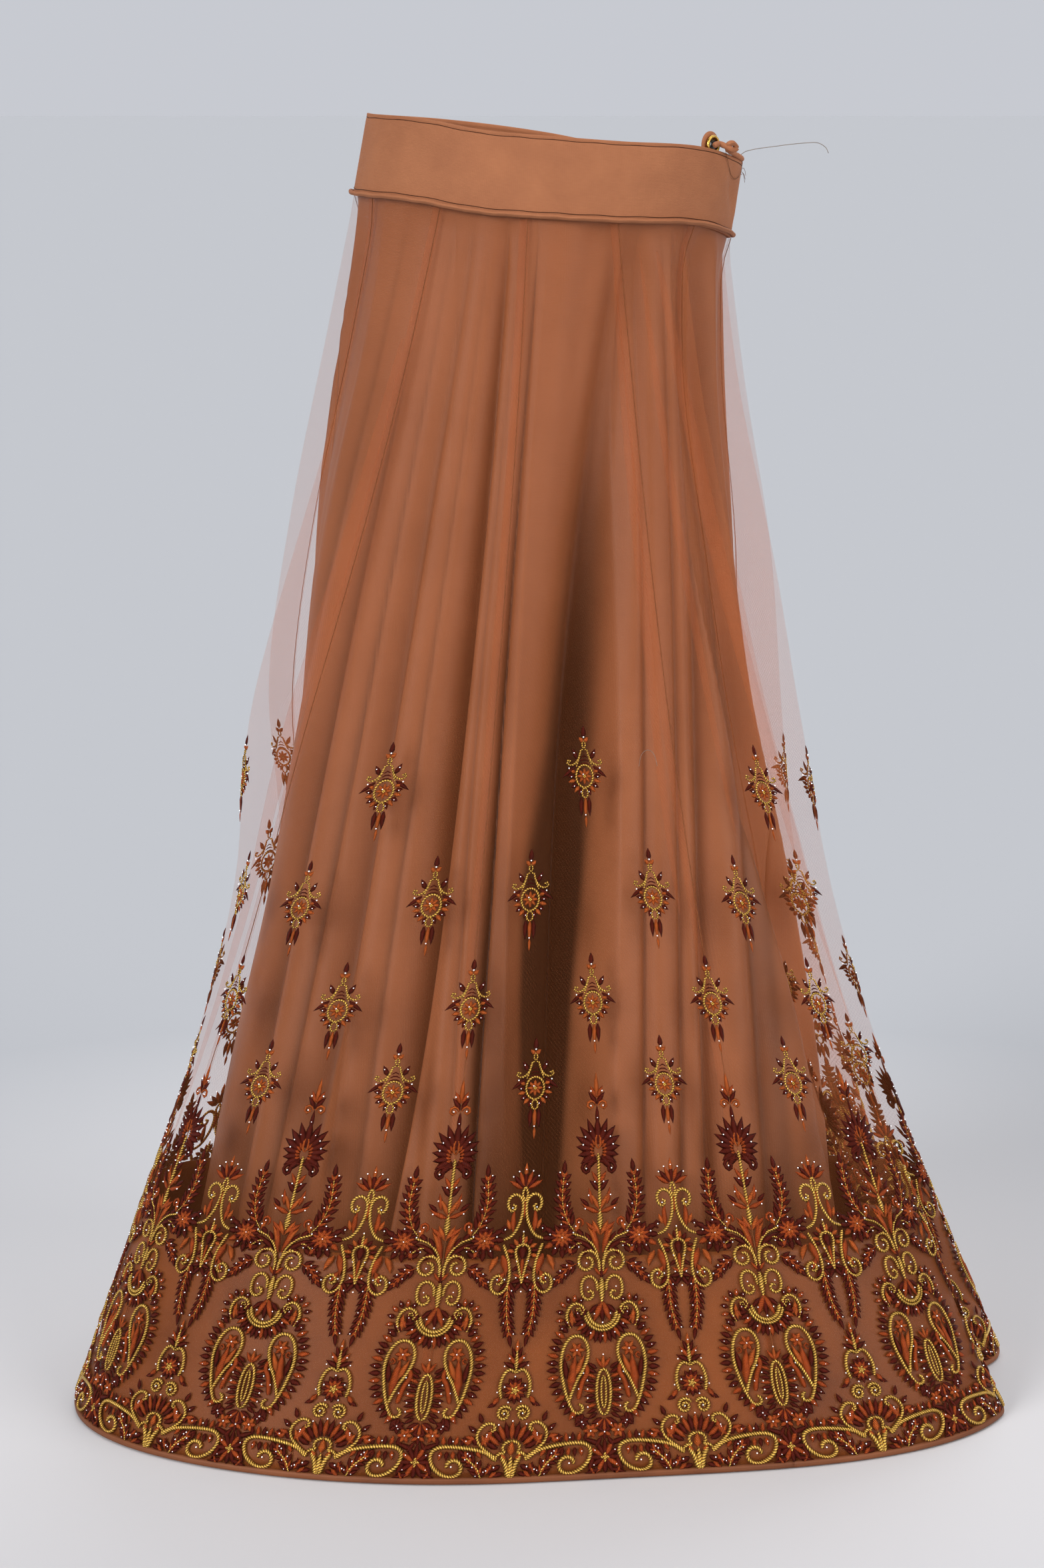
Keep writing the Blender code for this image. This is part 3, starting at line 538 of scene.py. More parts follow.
def lining_grid(start, end, columns, rows):
    """The lining's plan less its folds and creases, kept inside the net's deepest folds. Creases
    and valleys are nearly flat under the band and grow steadily down to the hem. Also gives the
    painted shade, from 0 to 1, that darkens the lining in its creases, valleys and deep shadows."""
    falls = np.linspace(0, 1 - LINING_LIFT / SKIRT_LENGTH, rows + 1)
    settled = settled_at(falls)
    bearing = np.tile(np.radians(np.linspace(start, end, columns + 1)), (rows + 1, 1))
    fall = np.broadcast_to(falls[:, None], bearing.shape)
    distance = plan_reach(LINING_PLAN, bearing, fall)
    across = distance * np.sin(bearing)
    for side, *sizes in LINING_FOLDS:
        middle, width, depth = (three_way(fall, *sizes[i : i + 3]) for i in (0, 3, 6))
        fold = on_side(side, bearing) * np.exp(-(((across - middle) / width) ** 2))
        distance = distance - depth * fold
    shade = np.zeros_like(distance)
    growth = CREASE_GROWTH[0] + CREASE_GROWTH[1] * fall + CREASE_GROWTH[2] * fall**2
    swell = growth * (1 - np.exp(-fall / CREASE_START))
    for side, *places, left, right, depth, dark in LINING_CREASES:
        away = across - three_way(fall, *places)
        spread = CREASE_SPREAD[0] + CREASE_SPREAD[1] * fall
        share = away / np.where(away < 0, left, right) / spread
        flank = np.exp(CREASE_FADE * (CREASE_TIP - np.hypot(share, CREASE_TIP)))
        profile = on_side(side, bearing) * flank
        distance = distance - depth * swell * profile
        line = CREASE_SHADES[0] * profile + CREASE_SHADES[1] * profile**5
        shade = shade + dark * np.minimum(swell, 1) * line * np.exp(-(np.maximum(share, 0) ** 2) * 8)
    for side, *places, half, depth, dark in LINING_VALLEYS:
        spread = VALLEY_SPREAD[0] + VALLEY_SPREAD[1] * fall
        share = (across - three_way(fall, *places)) / half / spread
        profile = on_side(side, bearing) * np.exp(-(np.abs(share) ** VALLEY_POWER))
        distance = distance - depth * swell * profile
        shade = shade + dark * np.minimum(0.04 + 1.6 * fall, 1) * profile**3
    nearest = np.min([net_reach_at(bearing + turn, falls, settled) for turn in NEAR_TURNS], axis=0)
    clearance = LINING_CLEARANCE_AT_BAND + (LINING_CLEARANCE_AT_HEM - LINING_CLEARANCE_AT_BAND) * fall
    spare = nearest - clearance - distance
    softness = LINING_SOFTNESS * np.clip(0.25 + 5 * fall, 0, 1)
    distance = distance - softness * np.log1p(np.exp(-spare / softness))
    across = distance * np.sin(bearing)
    for shadow in LINING_SHADOWS:
        at_falls, *edges = np.transpose(shadow)
        left, right, fade, dark = (np.interp(fall, at_falls, edge) for edge in edges)
        inside = 1 / (1 + np.exp((left - across) / fade)) / (1 + np.exp((across - right) / fade))
        shade = shade + dark * on_side(1, bearing) * inside
    return place(bearing, distance, height(bearing, fall)), np.clip(shade, 0, 1)


# Meshes


def make_piece(name, points, faces, finishes, flat=None, finish_of=0, smooth=True):
    """An object from point and face arrays; flat gives each point's place on the cloth in metres."""
    mesh = bpy.data.meshes.new(name)
    count, corners = faces.shape
    mesh.vertices.add(len(points))
    mesh.vertices.foreach_set("co", np.ascontiguousarray(points, np.float32).ravel())
    mesh.loops.add(count * corners)
    mesh.loops.foreach_set("vertex_index", np.ascontiguousarray(faces, np.int32).ravel())
    mesh.polygons.add(count)
    mesh.polygons.foreach_set("loop_start", np.arange(0, count * corners, corners, dtype=np.int32))
    for finish in finishes:
        mesh.materials.append(finish)
    chosen = np.broadcast_to(np.asarray(finish_of, np.int32), (count,))
    mesh.polygons.foreach_set("material_index", np.ascontiguousarray(chosen))
    mesh.polygons.foreach_set("use_smooth", np.full(count, smooth))
    if flat is not None:
        layer = mesh.uv_layers.new(name="cloth")
        layer.data.foreach_set("uv", np.ascontiguousarray(flat[faces.ravel()], np.float32).ravel())
    mesh.update(calc_edges=True)
    piece = bpy.data.objects.new(name, mesh)
    bpy.context.collection.objects.link(piece)
    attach(piece, "root")
    return piece


def wall_faces(rows, columns):
    """Quads of a closed wall: outer grid, inner grid and the four edges between them."""
    count = rows * columns
    at = np.arange(count).reshape(rows, columns)

    def strip(first, second):
        return np.stack([first[:-1], first[1:], second[1:], second[:-1]], axis=-1)

    face = np.concatenate([strip(at[row + 1], at[row]) for row in range(rows - 1)])
    out = (face, strip(at[:, -1], at[:, -1] + count), strip(at[0], at[0] + count))
    back = (face + count, strip(at[:, 0], at[:, 0] + count), strip(at[-1], at[-1] + count))
    return np.concatenate(list(out) + [part[:, ::-1] for part in back])


def flat_places(grid):
    """Distance along the middle row and down each column, in metres, for a pattern on the cloth."""
    along = run_along(grid[len(grid) // 2])
    down = np.linalg.norm(np.diff(grid, axis=0), axis=-1).mean(axis=1)
    down = np.concatenate([[0], np.cumsum(down)])
    return np.stack(np.broadcast_arrays(along[None, :], -down[:, None]), axis=-1)


def add_wall(name, outer, inner, finish):
    points = np.concatenate([outer.reshape(-1, 3), inner.reshape(-1, 3)])
    flat = np.tile(flat_places(outer).reshape(-1, 2), (2, 1))
    return make_piece(name, points, wall_faces(*outer.shape[:2]), [finish], flat)


def ring_quads(rings, sides, closed=False):
    """Quads between each ring of points and the next."""
    at = np.arange(rings * sides).reshape(rings, sides)
    a, b = (at, np.roll(at, -1, 0)) if closed else (at[:-1], at[1:])
    return np.stack([a, np.roll(a, -1, 1), np.roll(b, -1, 1), b], axis=-1).reshape(-1, 4)


def tube_faces(rings, sides):
    """Triangles between the rings, whose points turn clockwise as seen along the tube."""
    quads = ring_quads(rings, sides)
    return np.concatenate([quads[:, (0, 3, 2)], quads[:, (0, 2, 1)]])


def tube_points(path, radius, sides, squash=1.0):
    """Rings of a round tube along a path: across and up stay square to the path's direction."""
    ahead = unit(np.gradient(path, axis=0))
    across = unit(np.cross(ahead, (0.0, 0.0, 1.0)))
    upward = np.cross(across, ahead)
    turn = np.arange(sides) * 2 * np.pi / sides
    radius = np.broadcast_to(radius, (len(path),))[:, None, None]
    ring = across[:, None] * np.cos(turn)[None, :, None] * squash
    ring = ring + upward[:, None] * np.sin(turn)[None, :, None]
    return path[:, None] + radius * ring


def add_rod(name, rings, ends, line, across, finish):
    """Rings closed by a fan to a point at each end. The pattern runs along the line and takes the
    given places, in metres, round each ring."""
    stations, sides = rings.shape[:2]
    along = run_along(line)
    flat = np.stack(np.broadcast_arrays(along[:, None], across[None, :]), axis=-1)
    flat = np.concatenate([flat.reshape(-1, 2), flat[(0, -1), 0]])
    points = np.concatenate([rings.reshape(-1, 3), ends])
    turn = np.arange(sides)
    onward = np.roll(turn, -1)
    last = (stations - 1) * sides
    start = np.stack([np.full(sides, last + sides), turn, onward], axis=-1)
    end = np.stack([np.full(sides, last + sides + 1), last + onward, last + turn], axis=-1)
    faces = np.concatenate([tube_faces(stations, sides), start, end])
    return make_piece(name, points, faces, [finish], flat)


def add_tube(name, path, radius, sides, finish, squash=1.0):
    """A round tube whose pattern takes 10 mm round it."""
    rings = tube_points(path, radius, sides, squash)
    across = np.arange(sides) / sides * TUBE_PATTERN
    return add_rod(name, rings, path[[0, -1]], path, across, finish)


# Finishes


class Shader:
    """The nodes of a material or world, made by short calls: an input may be a number, a colour
    or a socket, and a node's kind is its name in Blender after "ShaderNode"."""

    def __init__(self, owner):
        self.owner = owner
        owner.use_nodes = True
        self.tree = owner.node_tree
        self.tree.nodes.clear()

    def add(self, kind, inputs=None, output=0, **settings):
        node = self.tree.nodes.new("ShaderNode" + kind)
        for name, value in settings.items():
            setattr(node, name, value)
        for key, value in (inputs or {}).items():
            socket = node.inputs[key]
            if isinstance(value, bpy.types.NodeSocket):
                self.tree.links.new(value, socket)
            else:
                socket.default_value = value
        return node.outputs[output] if node.outputs else None

    def cloth(self, across=1.0, down=1.0):
        """The piece's own flat coordinates, scaled."""
        where = self.add("UVMap", uv_map="cloth")
        return self.add("Mapping", {"Vector": where, "Scale": (across, down, 1.0)})

    def place(self):
        where = self.add("TexCoord", output="Object")
        return self.add("Mapping", {"Vector": where})

    def noise(self, vector, scale, detail=2.0, roughness=0.5):
        inputs = {"Vector": vector, "Scale": scale, "Detail": detail, "Roughness": roughness}
        return self.add("TexNoise", inputs)

    def wave(self, vector, scale, direction="X", bend=0.0):
        inputs = {"Vector": vector, "Scale": scale, "Distortion": bend}
        return self.add("TexWave", inputs, output=1, bands_direction=direction)

    def math(self, operation, first, second=0.0):
        return self.add("Math", {0: first, 1: second}, operation=operation)

    def span(self, value, low, high, to_low=0.0, to_high=1.0):
        inputs = {"Value": value, "From Min": low, "From Max": high, "To Min": to_low, "To Max": to_high}
        return self.add("MapRange", inputs)

    def blend(self, factor, first, second):
        return self.add("Mix", {"Factor": factor, 6: first, 7: second}, output=2, data_type="RGBA")

    def bump(self, value, distance):
        return self.add("Bump", {"Height": value, "Distance": distance, "Strength": 1.0})

    def finish(self, surface, output="OutputMaterial"):
        self.add(output, {"Surface": surface})
        return self.owner

    def solid(self, inputs):
        return self.finish(self.add("BsdfPrincipled", inputs))


def new_shader(name):
    return Shader(bpy.data.materials.new(name))


def rgba(red, green, blue):
    """A colour from 0 to 255 as seen, in the linear light that shaders use."""
    seen = np.array((red, green, blue)) / 255
    linear = np.where(seen <= 0.04045, seen / 12.92, ((seen + 0.055) / 1.055) ** 2.4)
    return (*linear.tolist(), 1.0)


def shifted(colour, factor, lift=0):
    """A colour made lighter or darker, as shaders use it."""
    return rgba(*(min(255, part * factor + lift) for part in colour))


def woven_finish(name, colour, dark, roughness, sheen, threads, crumple, depth):
    """Cloth: fine crossed threads and slow uneven patches in colour, gloss and bump. Where the
    piece carries a painted fold shade, its colour is darkened there as painted shade in its folds."""
    s = new_shader(name)
    flat = s.cloth()
    warp = s.wave(flat, threads, "X", 0.4)
    weft = s.wave(flat, threads * 0.8, "Y", 0.4)
    weave = s.math("MULTIPLY", s.math("ADD", warp, weft), 0.5)
    patches = s.noise(s.place(), crumple, 4.0, 0.6)
    slubs = s.noise(s.cloth(60.0, 900.0), 1.0, 2.0)
    tint = s.blend(s.span(patches, 0.35, 0.7), rgba(*dark), rgba(*colour))
    tint = s.blend(s.span(weave, 0.2, 0.9, 0.0, 0.22), tint, shifted(colour, 1.22))
    tint = s.blend(s.span(slubs, 0.55, 0.8, 0.0, 0.25), tint, rgba(*dark))
    # Painted shade: where the fold shade is 1, the colour is darkened almost to a tenth of the dark tint
    painted_fold_shade = s.add("Attribute", output=2, attribute_name="painted_fold_shade")
    tint = s.blend(s.span(painted_fold_shade, 0.0, 1.0, 0.0, 0.98), tint, shifted(dark, 0.1))
    uneven = s.math("ADD", s.math("MULTIPLY", weave, 0.4), s.math("MULTIPLY", patches, 6.0))
    return s.solid({
        "Base Color": tint,
        "Roughness": s.span(patches, 0.3, 0.7, roughness - 0.05, roughness + 0.06),
        "Sheen Weight": sheen,
        "Sheen Roughness": 0.45,
        "Sheen Tint": shifted(colour, 1, 40),
        "Specular IOR Level": 0.25,
        "Normal": s.bump(uneven, depth),
    })


def net_finish(name, colour, cover, open_mesh):
    """Sheer net: light passes between its threads, and in part through them."""
    s = new_shader(name)
    upright = s.wave(s.cloth(), 340.0, "X", 1.2)
    slanted = s.wave(s.cloth(1.0, 0.62), 260.0, "DIAGONAL", 1.0)
    threads = s.math("MAXIMUM", upright, slanted)
    slow = s.noise(s.cloth(7.0, 1.6), 1.0, 3.0)
    mesh = s.span(threads, 0.35, 1.0, cover * (1 - open_mesh), cover * (1 + open_mesh))
    covered = s.math("MULTIPLY", mesh, s.span(slow, 0.3, 0.7, 0.82, 1.2))
    tint = s.blend(slow, rgba(*colour), shifted(colour, 1.15))
    front = s.add("BsdfDiffuse", {"Color": tint})
    through = s.add("BsdfTranslucent", {"Color": tint})
    cloth = s.add("MixShader", {0: 0.6, 1: front, 2: through})
    clear = s.add("BsdfTransparent", {"Color": (1.0, 1.0, 1.0, 1.0)})
    return s.finish(s.add("MixShader", {0: covered, 1: clear, 2: cloth}))


def thread_finish(name, colour, metallic=0.0, roughness=0.55, twist=700.0, depth=0.0004):
    """Stitched thread: strands cross the shape and catch the light unevenly, through their bump and
    through a painted shade and painted highlight along them.
    """
    s = new_shader(name)
    strands = s.wave(s.cloth(1.0, 0.5), twist, "DIAGONAL", 1.5)
    dark = shifted(colour, 0.48)
    # Painted shade between the strands and painted highlight on them
    tint = s.blend(s.span(strands, 0.1, 0.8), dark, shifted(colour, 1.12, 6))
    tint = s.blend(s.span(s.noise(s.place(), 260.0), 0.35, 0.75, 0.0, 0.45), tint, dark)
    return s.solid({
        "Base Color": tint,
        "Metallic": metallic,
        "Roughness": roughness,
        "Specular IOR Level": 0.14,
        "Normal": s.bump(strands, depth),
    })


def hard_finish(name, colour, metallic, roughness, coat=0.0, painted_glint=0.0):
    """Polished metal or cut stone, with faint wear in its gloss. A cut stone may also be given a
    white emission of its own, a painted glint.
    """
    s = new_shader(name)
    wear = s.noise(s.place(), 900.0, 3.0)
    inputs = {
        "Base Color": s.blend(s.span(wear, 0.3, 0.7, 0.0, 0.3), rgba(*colour), shifted(colour, 0.7)),
        "Metallic": metallic,
        "Roughness": s.span(wear, 0.3, 0.7, roughness, roughness + 0.1),
        "Coat Weight": coat,
    }
    if painted_glint:
        inputs["Emission Color"] = (1.0, 1.0, 1.0, 1.0)
        inputs["Emission Strength"] = painted_glint
    return s.solid(inputs)


NET = net_finish("sheer_net", (202, 124, 78), 0.054, 0.4)
NET_DOUBLED = net_finish("doubled_net", (204, 120, 74), 0.095, 0.35)
LINING = woven_finish("lining_satin", (146, 89, 57), (131, 78, 48), 0.44, 0.12, 330.0, 9.0, 0.00012)
FACING = woven_finish("facing_satin", (120, 64, 25), (86, 42, 14), 0.44, 0.1, 330.0, 9.0, 0.00012)
HEM = woven_finish("hem_satin", (128, 76, 46), (92, 50, 28), 0.6, 0.1, 330.0, 9.0, 0.00012)
BAND = woven_finish("band_cloth", (158, 101, 68), (145, 90, 59), 0.72, 0.18, 420.0, 26.0, 0.00035)
GOLD = thread_finish("gold_cord", (255, 180, 84), 0.46, 0.24, 300.0, 0.0006)
SEAM_LINE = thread_finish("seam_stitches", (196, 122, 74))
MAROON = thread_finish("maroon_thread", (92, 20, 4))
RUST = thread_finish("rust_thread", (178, 74, 26))
AMBER = thread_finish("amber_thread", (198, 94, 36))
# The crystals shine white though they are no lamps: a painted glint, which lights nothing else
CRYSTAL = hard_finish("crystal", (244, 240, 240), 0.35, 0.06, 1.0, 1.1)
CRYSTAL.cycles.emission_sampling = "NONE"
PALE_THREAD = thread_finish("pale_thread", (240, 206, 190))
SEW_THREAD = thread_finish("sewing_thread", (206, 136, 92))
DARK_THREAD = thread_finish("dark_sewing_thread", (116, 66, 42))
GILT = hard_finish("polished_gilt", (214, 174, 84), 1.0, 0.16)
STONE = hard_finish("dark_cut_stone", (14, 12, 12), 0.0, 0.05, 1.0)

# Net, lining, facing and binding

NET_POINTS, NET_NORMALS, NET_ROW_FALLS = net_surface()


def kali_columns(kali, count=1, step=1):
    """Chart columns from a kali's first seam to the seam after that many kalis, going round."""
    first = kali * KALI_COLUMNS
    return np.arange(first, first + count * KALI_COLUMNS + 1, step) % (KALIS * KALI_COLUMNS)


def build_net():
    """Twelve kalis, each a thin wall of sheer net between its two seams."""
    for kali in range(KALIS):
        columns = kali_columns(kali, 1, NET_COLUMN_STEP)
        outer = NET_POINTS[::NET_ROW_STEP, columns]
        normals = NET_NORMALS[::NET_ROW_STEP, columns]
        along = unit(outer[:, -1] - outer[:, 0])
        outer[:, 0] += along * SEAM_GAP / 2
        outer[:, -1] -= along * SEAM_GAP / 2
        name = f"net_kali_{kali + 1:02d}"
        piece = add_wall(name, outer, outer - SHOWN_NET_WALL * normals, NET)
        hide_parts(f"net_panel_{kali + 1:02d}")


def build_seams():
    """The seam allowance behind each seam: a doubled strip of net."""
    rows = slice(None, None, NET_ROW_STEP)
    for kali in range(KALIS):
        column = kali * KALI_COLUMNS
        seam = NET_POINTS[rows, column]
        before = unit(NET_POINTS[rows, (column - 1) % (KALIS * KALI_COLUMNS)] - seam)
        after = unit(NET_POINTS[rows, column + 1] - seam)
        strip = [seam + before * size for size in SEAM_ALLOWANCE]
        strip = np.stack(strip + [seam + after * SEAM_OVERLAP], axis=1)
        normal = NET_NORMALS[rows, column][:, None]
        outer, inner = (strip - depth * normal for depth in SEAM_DEPTHS)
        add_wall(f"seam_strip_{kali + 1:02d}", outer, inner, NET_DOUBLED)


def net_at(across, rows):
    """Points and normals of the net at places given in kalis, one for each row of the chart."""
    column = np.mod(across, KALIS) * KALI_COLUMNS
    first = np.minimum(column.astype(int), NET_POINTS.shape[1] - 2)
    part = (column - first)[..., None]
    points = NET_POINTS[rows, first] * (1 - part) + NET_POINTS[rows, first + 1] * part
    normals = NET_NORMALS[rows, first] * (1 - part) + NET_NORMALS[rows, first + 1] * part
    return points, unit(normals)


def build_net_folds():
    """Long soft folds where the net lies double: strips behind it that narrow to both ends."""
    for number, (at_band, at_hem, start, end, width) in enumerate(NET_FOLDS):
        rows = np.flatnonzero((NET_ROW_FALLS >= start) & (NET_ROW_FALLS <= end))[::4]
        fall = NET_ROW_FALLS[rows]
        along = (fall - fall[0]) / (fall[-1] - fall[0])
        half = width / 2 * (0.12 + 0.88 * np.sin(np.pi * along) ** 0.6) / kali_cut(fall)
        middle = at_band + (at_hem - at_band) * fall + 0.004 * np.sin(19 * fall + number)
        across = middle[:, None] + half[:, None] * np.linspace(-1, 1, 5)
        points, normals = net_at(across, np.broadcast_to(rows[:, None], across.shape))
        outer, inner = (points - depth * normals for depth in NET_FOLD_DEPTHS)
        add_wall(f"net_fold_{number + 1:02d}", outer, inner, NET_DOUBLED)


def build_seam_threads():
    """The fine light line of stitches down every seam of the net."""
    rows = np.arange(0, CHART_ROWS, 4)
    for kali in range(KALIS):
        points, normals = net_at(np.full(len(rows), float(kali)), rows)
        path = points + STITCH_LIFT * normals
        add_tube(f"seam_thread_{kali + 1:02d}", path, STITCH_RADIUS, 4, SEAM_LINE)


def build_facing():
    """The facing behind the net at the hem, in four lengths of three kalis like the part's, and
    round its lower edge the folded hem."""
    first = int(np.argmin(np.abs(NET_ROW_FALLS - (1 - FACING_HEIGHT / SKIRT_LENGTH))))
    profile = np.array(HEM_FOLD)
    for side, kalis in SIDES.items():
        columns = kali_columns(kalis[0], 3, 2)
        normals = NET_NORMALS[first::2, columns]
        outer = NET_POINTS[first::2, columns] - (NET_WALL + LAYER_GAP) * normals
        piece = add_wall(f"facing_{side}", outer, outer - FACING_WALL * normals, FACING)
        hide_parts(f"hem_facing_{side}")
        columns = kali_columns(kalis[0], 3)
        edge = NET_POINTS[-1, columns]
        out = unit(NET_NORMALS[-1, columns] * (1.0, 1.0, 0.0))
        rings = edge[:, None] + out[:, None] * profile[None, :, :1]
        rings[..., 2] = -FLOOR_DROP + profile[None, :, 1]
        across = np.arange(len(profile)) * HEM_PATTERN
        piece = add_rod(f"hem_fold_{side}", rings, rings[[0, -1]].mean(axis=1), edge, across, HEM)
        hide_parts(f"hem_binding_{side}")


def build_lining():
    for half, start, end, columns, area in (
        ("front", -90.0, 90.0, 288, 0.66),
        ("back", 90.0, 270.0, 200, 0.69),
    ):
        outer, shade = lining_grid(start, end, columns, 54)
        outer = tuck_under_band(outer)
        shade = np.concatenate([shade[:1], shade]).ravel()
        inner = outer - LINING_WALL * surface_normals(outer)
        piece = add_wall(f"lining_cloth_{half}", outer, inner, LINING)
        # The painted shade of creases, valleys and deep shadows goes on the lining's points for its finish
        both = np.tile(shade, 2).astype(np.float32)
        piece.data.attributes.new("painted_fold_shade", "FLOAT", "POINT").data.foreach_set("value", both)
        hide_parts(f"lining_{half}")


# Band and closure


def band_point(bearing, rise):
    """A point on the band's outer face: rise 0 at its lower seam, 1 at its top edge."""
    low = reach(bearing, *BAND_LOW.values(), 2.0)
    top = reach(bearing, *BAND_TOP.values(), 2.0)
    low_level = band_height(bearing, "low") + SEAM_GAP
    level = low_level + (band_height(bearing, "top") - low_level) * rise
    return place(bearing, low + (top - low) * rise, level)


def top_edge(degrees):
    """One point of the band's plain top edge."""
    return band_point(np.radians([degrees]), np.array([1.0]))[0]


def band_surface(bearing, rise):
    """The band's face with its crumples, and a stitched fold line just under the top edge."""
    points = band_point(bearing, rise)
    degrees = np.degrees(bearing)
    lift = -GROOVE_DEPTH * np.exp(-(((rise - TOP_STITCH_RISE) / GROOVE_HALF) ** 2))
    for at, up, half, tall, slant, rise_by in BAND_CRUMPLES:
        away = np.mod(degrees - at - slant * (rise - up) + 180, 360) - 180
        lift = lift + rise_by * np.exp(-((away / half) ** 2) - ((rise - up) / tall) ** 2)
    return points + lift[..., None] * unit(points * (1.0, 1.0, 0.0))


def band_spot(degrees, rise=1.0):
    """One point of the crumpled band's face."""
    return band_surface(np.radians([degrees]), np.array([rise]))[0]


def build_band():
    rises = np.concatenate([[1.0, 0.985, 0.968, TOP_STITCH_RISE, 0.942], np.linspace(0.92, 0.0, 17)])
    for half, start, end in (
        ("front", SIDE_SEAM_BEARING, CLOSURE_BEARING),
        ("back", CLOSURE_BEARING, 360 + SIDE_SEAM_BEARING),
    ):
        bearing = np.radians(np.linspace(start, end, 131))
        bearing[0] += EDGE_TURN
        bearing[-1] -= EDGE_TURN
        bearing, rise = np.meshgrid(bearing, rises)
        outer = band_surface(bearing, rise)
        wall = np.where(rise > 0.99, BAND_WALL * 0.6, BAND_WALL)[..., None]
        inner = outer - unit(outer * (1.0, 1.0, 0.0)) * wall
        piece = add_wall(f"band_cloth_{half}", outer, inner, BAND)
        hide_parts(f"waistband_{half}")


def build_piping():
    every = np.radians(np.linspace(SIDE_SEAM_BEARING, 360 + SIDE_SEAM_BEARING, 361))
    for side, part in (("front", slice(0, 181)), ("back", slice(180, 361))):
        own = every[part].copy()
        own[0] += EDGE_TURN
        own[-1] -= EDGE_TURN
        centre = band_point(own, np.full(len(own), PIPING_RISE))
        centre[:, 2] += PIPING_WAVE * np.sin(31 * own) * np.sin(7.3 * own + 1)
        out = place(own, PIPING_RADIUS + SEAM_GAP + 0 * own, 0 * own)
        piece = add_tube(f"waist_seam_piping_{side}", centre + out, PIPING_RADIUS, 10, BAND)
        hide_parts(f"waist_piping_{side}")


class ClosureFrame:
    """Place on the band's top edge where the button stands: sideways, up and outward."""

    def __init__(self):
        edge = top_edge(BUTTON_BEARING)
        self.up = np.array((0.0, 0.0, 1.0))
        self.outward = unit(edge / (BAND_TOP["right"] ** 2, BAND_TOP["front"] ** 2, 1.0) * (1.0, 1.0, 0.0))
        self.side = np.cross(self.up, self.outward)
        inset = BAND_WALL + 2 * SEAM_GAP + RIM_HALF
        self.centre = edge - inset * self.outward + BUTTON_RISE * self.up

    def at(self, across, rise, forward):
        pairs = ((across, self.side), (rise, self.up), (forward, self.outward))
        return self.centre + sum(np.multiply.outer(size, way) for size, way in pairs)


def smooth_path(points, step):
    """A Catmull-Rom curve through the points, at about even steps."""
    points = np.asarray(points, float)
    padded = np.concatenate([2 * points[:1] - points[1:2], points, 2 * points[-1:] - points[-2:-1]])
    a, b, c, d = (padded[i : len(points) - 1 + i, None] for i in range(4))
    t = np.linspace(0, 1, 13)[:-1, None]
    bend = (2 * a - 5 * b + 4 * c - d) * t**2 + (3 * b - a - 3 * c + d) * t**3
    dense = 0.5 * (2 * b + (c - a) * t + bend)
    dense = np.concatenate([dense.reshape(-1, points.shape[1]), points[-1:]])
    length = run_along(dense)
    even = np.linspace(0, length[-1], max(2, int(round(length[-1] / step)) + 1))
    return read_columns(even, length, dense)


def build_tab(place_at):
    """The round tab: straight sides with a half circle over them, shrunk in rings towards its foot,
    its edge rounded by a quarter circle."""
    turn = np.linspace(0, np.pi, 25)
    half = TAB_WIDTH / 2
    side = np.linspace(-TAB_FOOT, -0.002, 6)
    across = np.concatenate([np.full(6, half), half * np.cos(turn), np.full(6, -half)])
    rise = np.concatenate([side, half * np.sin(turn), side[::-1]])
    share = np.linspace(0, 1, 9)[:, None]
    across = across * (1 - share)
    rise = rise * (1 - share) - TAB_FOOT * 0.35 * share
    rounding = TAB_EDGE * (1 - np.sqrt(np.clip(1 - (1 - np.minimum(share * 6, 1)) ** 2, 0, 1)))
    face = -(RIM_HALF + SEAM_GAP)
    outer = place_at.at(across, rise, face - rounding + 0 * across)
    inner = place_at.at(across, rise, face - TAB_WALL + rounding + 0 * across)
    piece = add_wall("closure_tab_cloth", outer[:, ::-1], inner[:, ::-1], BAND)
    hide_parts("closure_tab")


def build_button(place_at):
    """A ring with ribs on its outer face, and in it a stone of six rings of ten facets."""
    segments, ring_sides = 160, 12
    turn = (np.arange(segments) * 2 * np.pi / segments)[:, None]
    circle = np.arange(ring_sides) * 2 * np.pi / ring_sides
    rib = 1 + RIB_HEIGHT * np.maximum(0, np.sin(turn * RIM_RIBS)) * np.maximum(0, np.sin(circle))
    radius = BUTTON_RADIUS - RIM_HALF + RIM_THICKNESS * RIM_HALF * np.cos(circle) * rib
    depth = RIM_THICKNESS * RIM_HALF * np.sin(circle) * rib
    points = place_at.at(radius * np.cos(turn), radius * np.sin(turn), depth).reshape(-1, 3)
    rim = make_piece("ribbed_rim", points, ring_quads(segments, ring_sides, True), [GILT])
    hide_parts("button_rim")

    size, depth = np.transpose(STONE_RINGS)[..., None]
    size = size * (BUTTON_RADIUS - 2 * RIM_HALF - SEAM_GAP)
    turn = np.arange(STONE_FACETS) * 2 * np.pi / STONE_FACETS + 0.3 * np.arange(len(size))[:, None]
    points = place_at.at(size * np.cos(turn), size * np.sin(turn), depth + 0 * turn).reshape(-1, 3)
    faces = ring_quads(len(size), STONE_FACETS)
    stone = make_piece("cut_stone", points, faces, [STONE], smooth=False)
    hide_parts("button_stone")


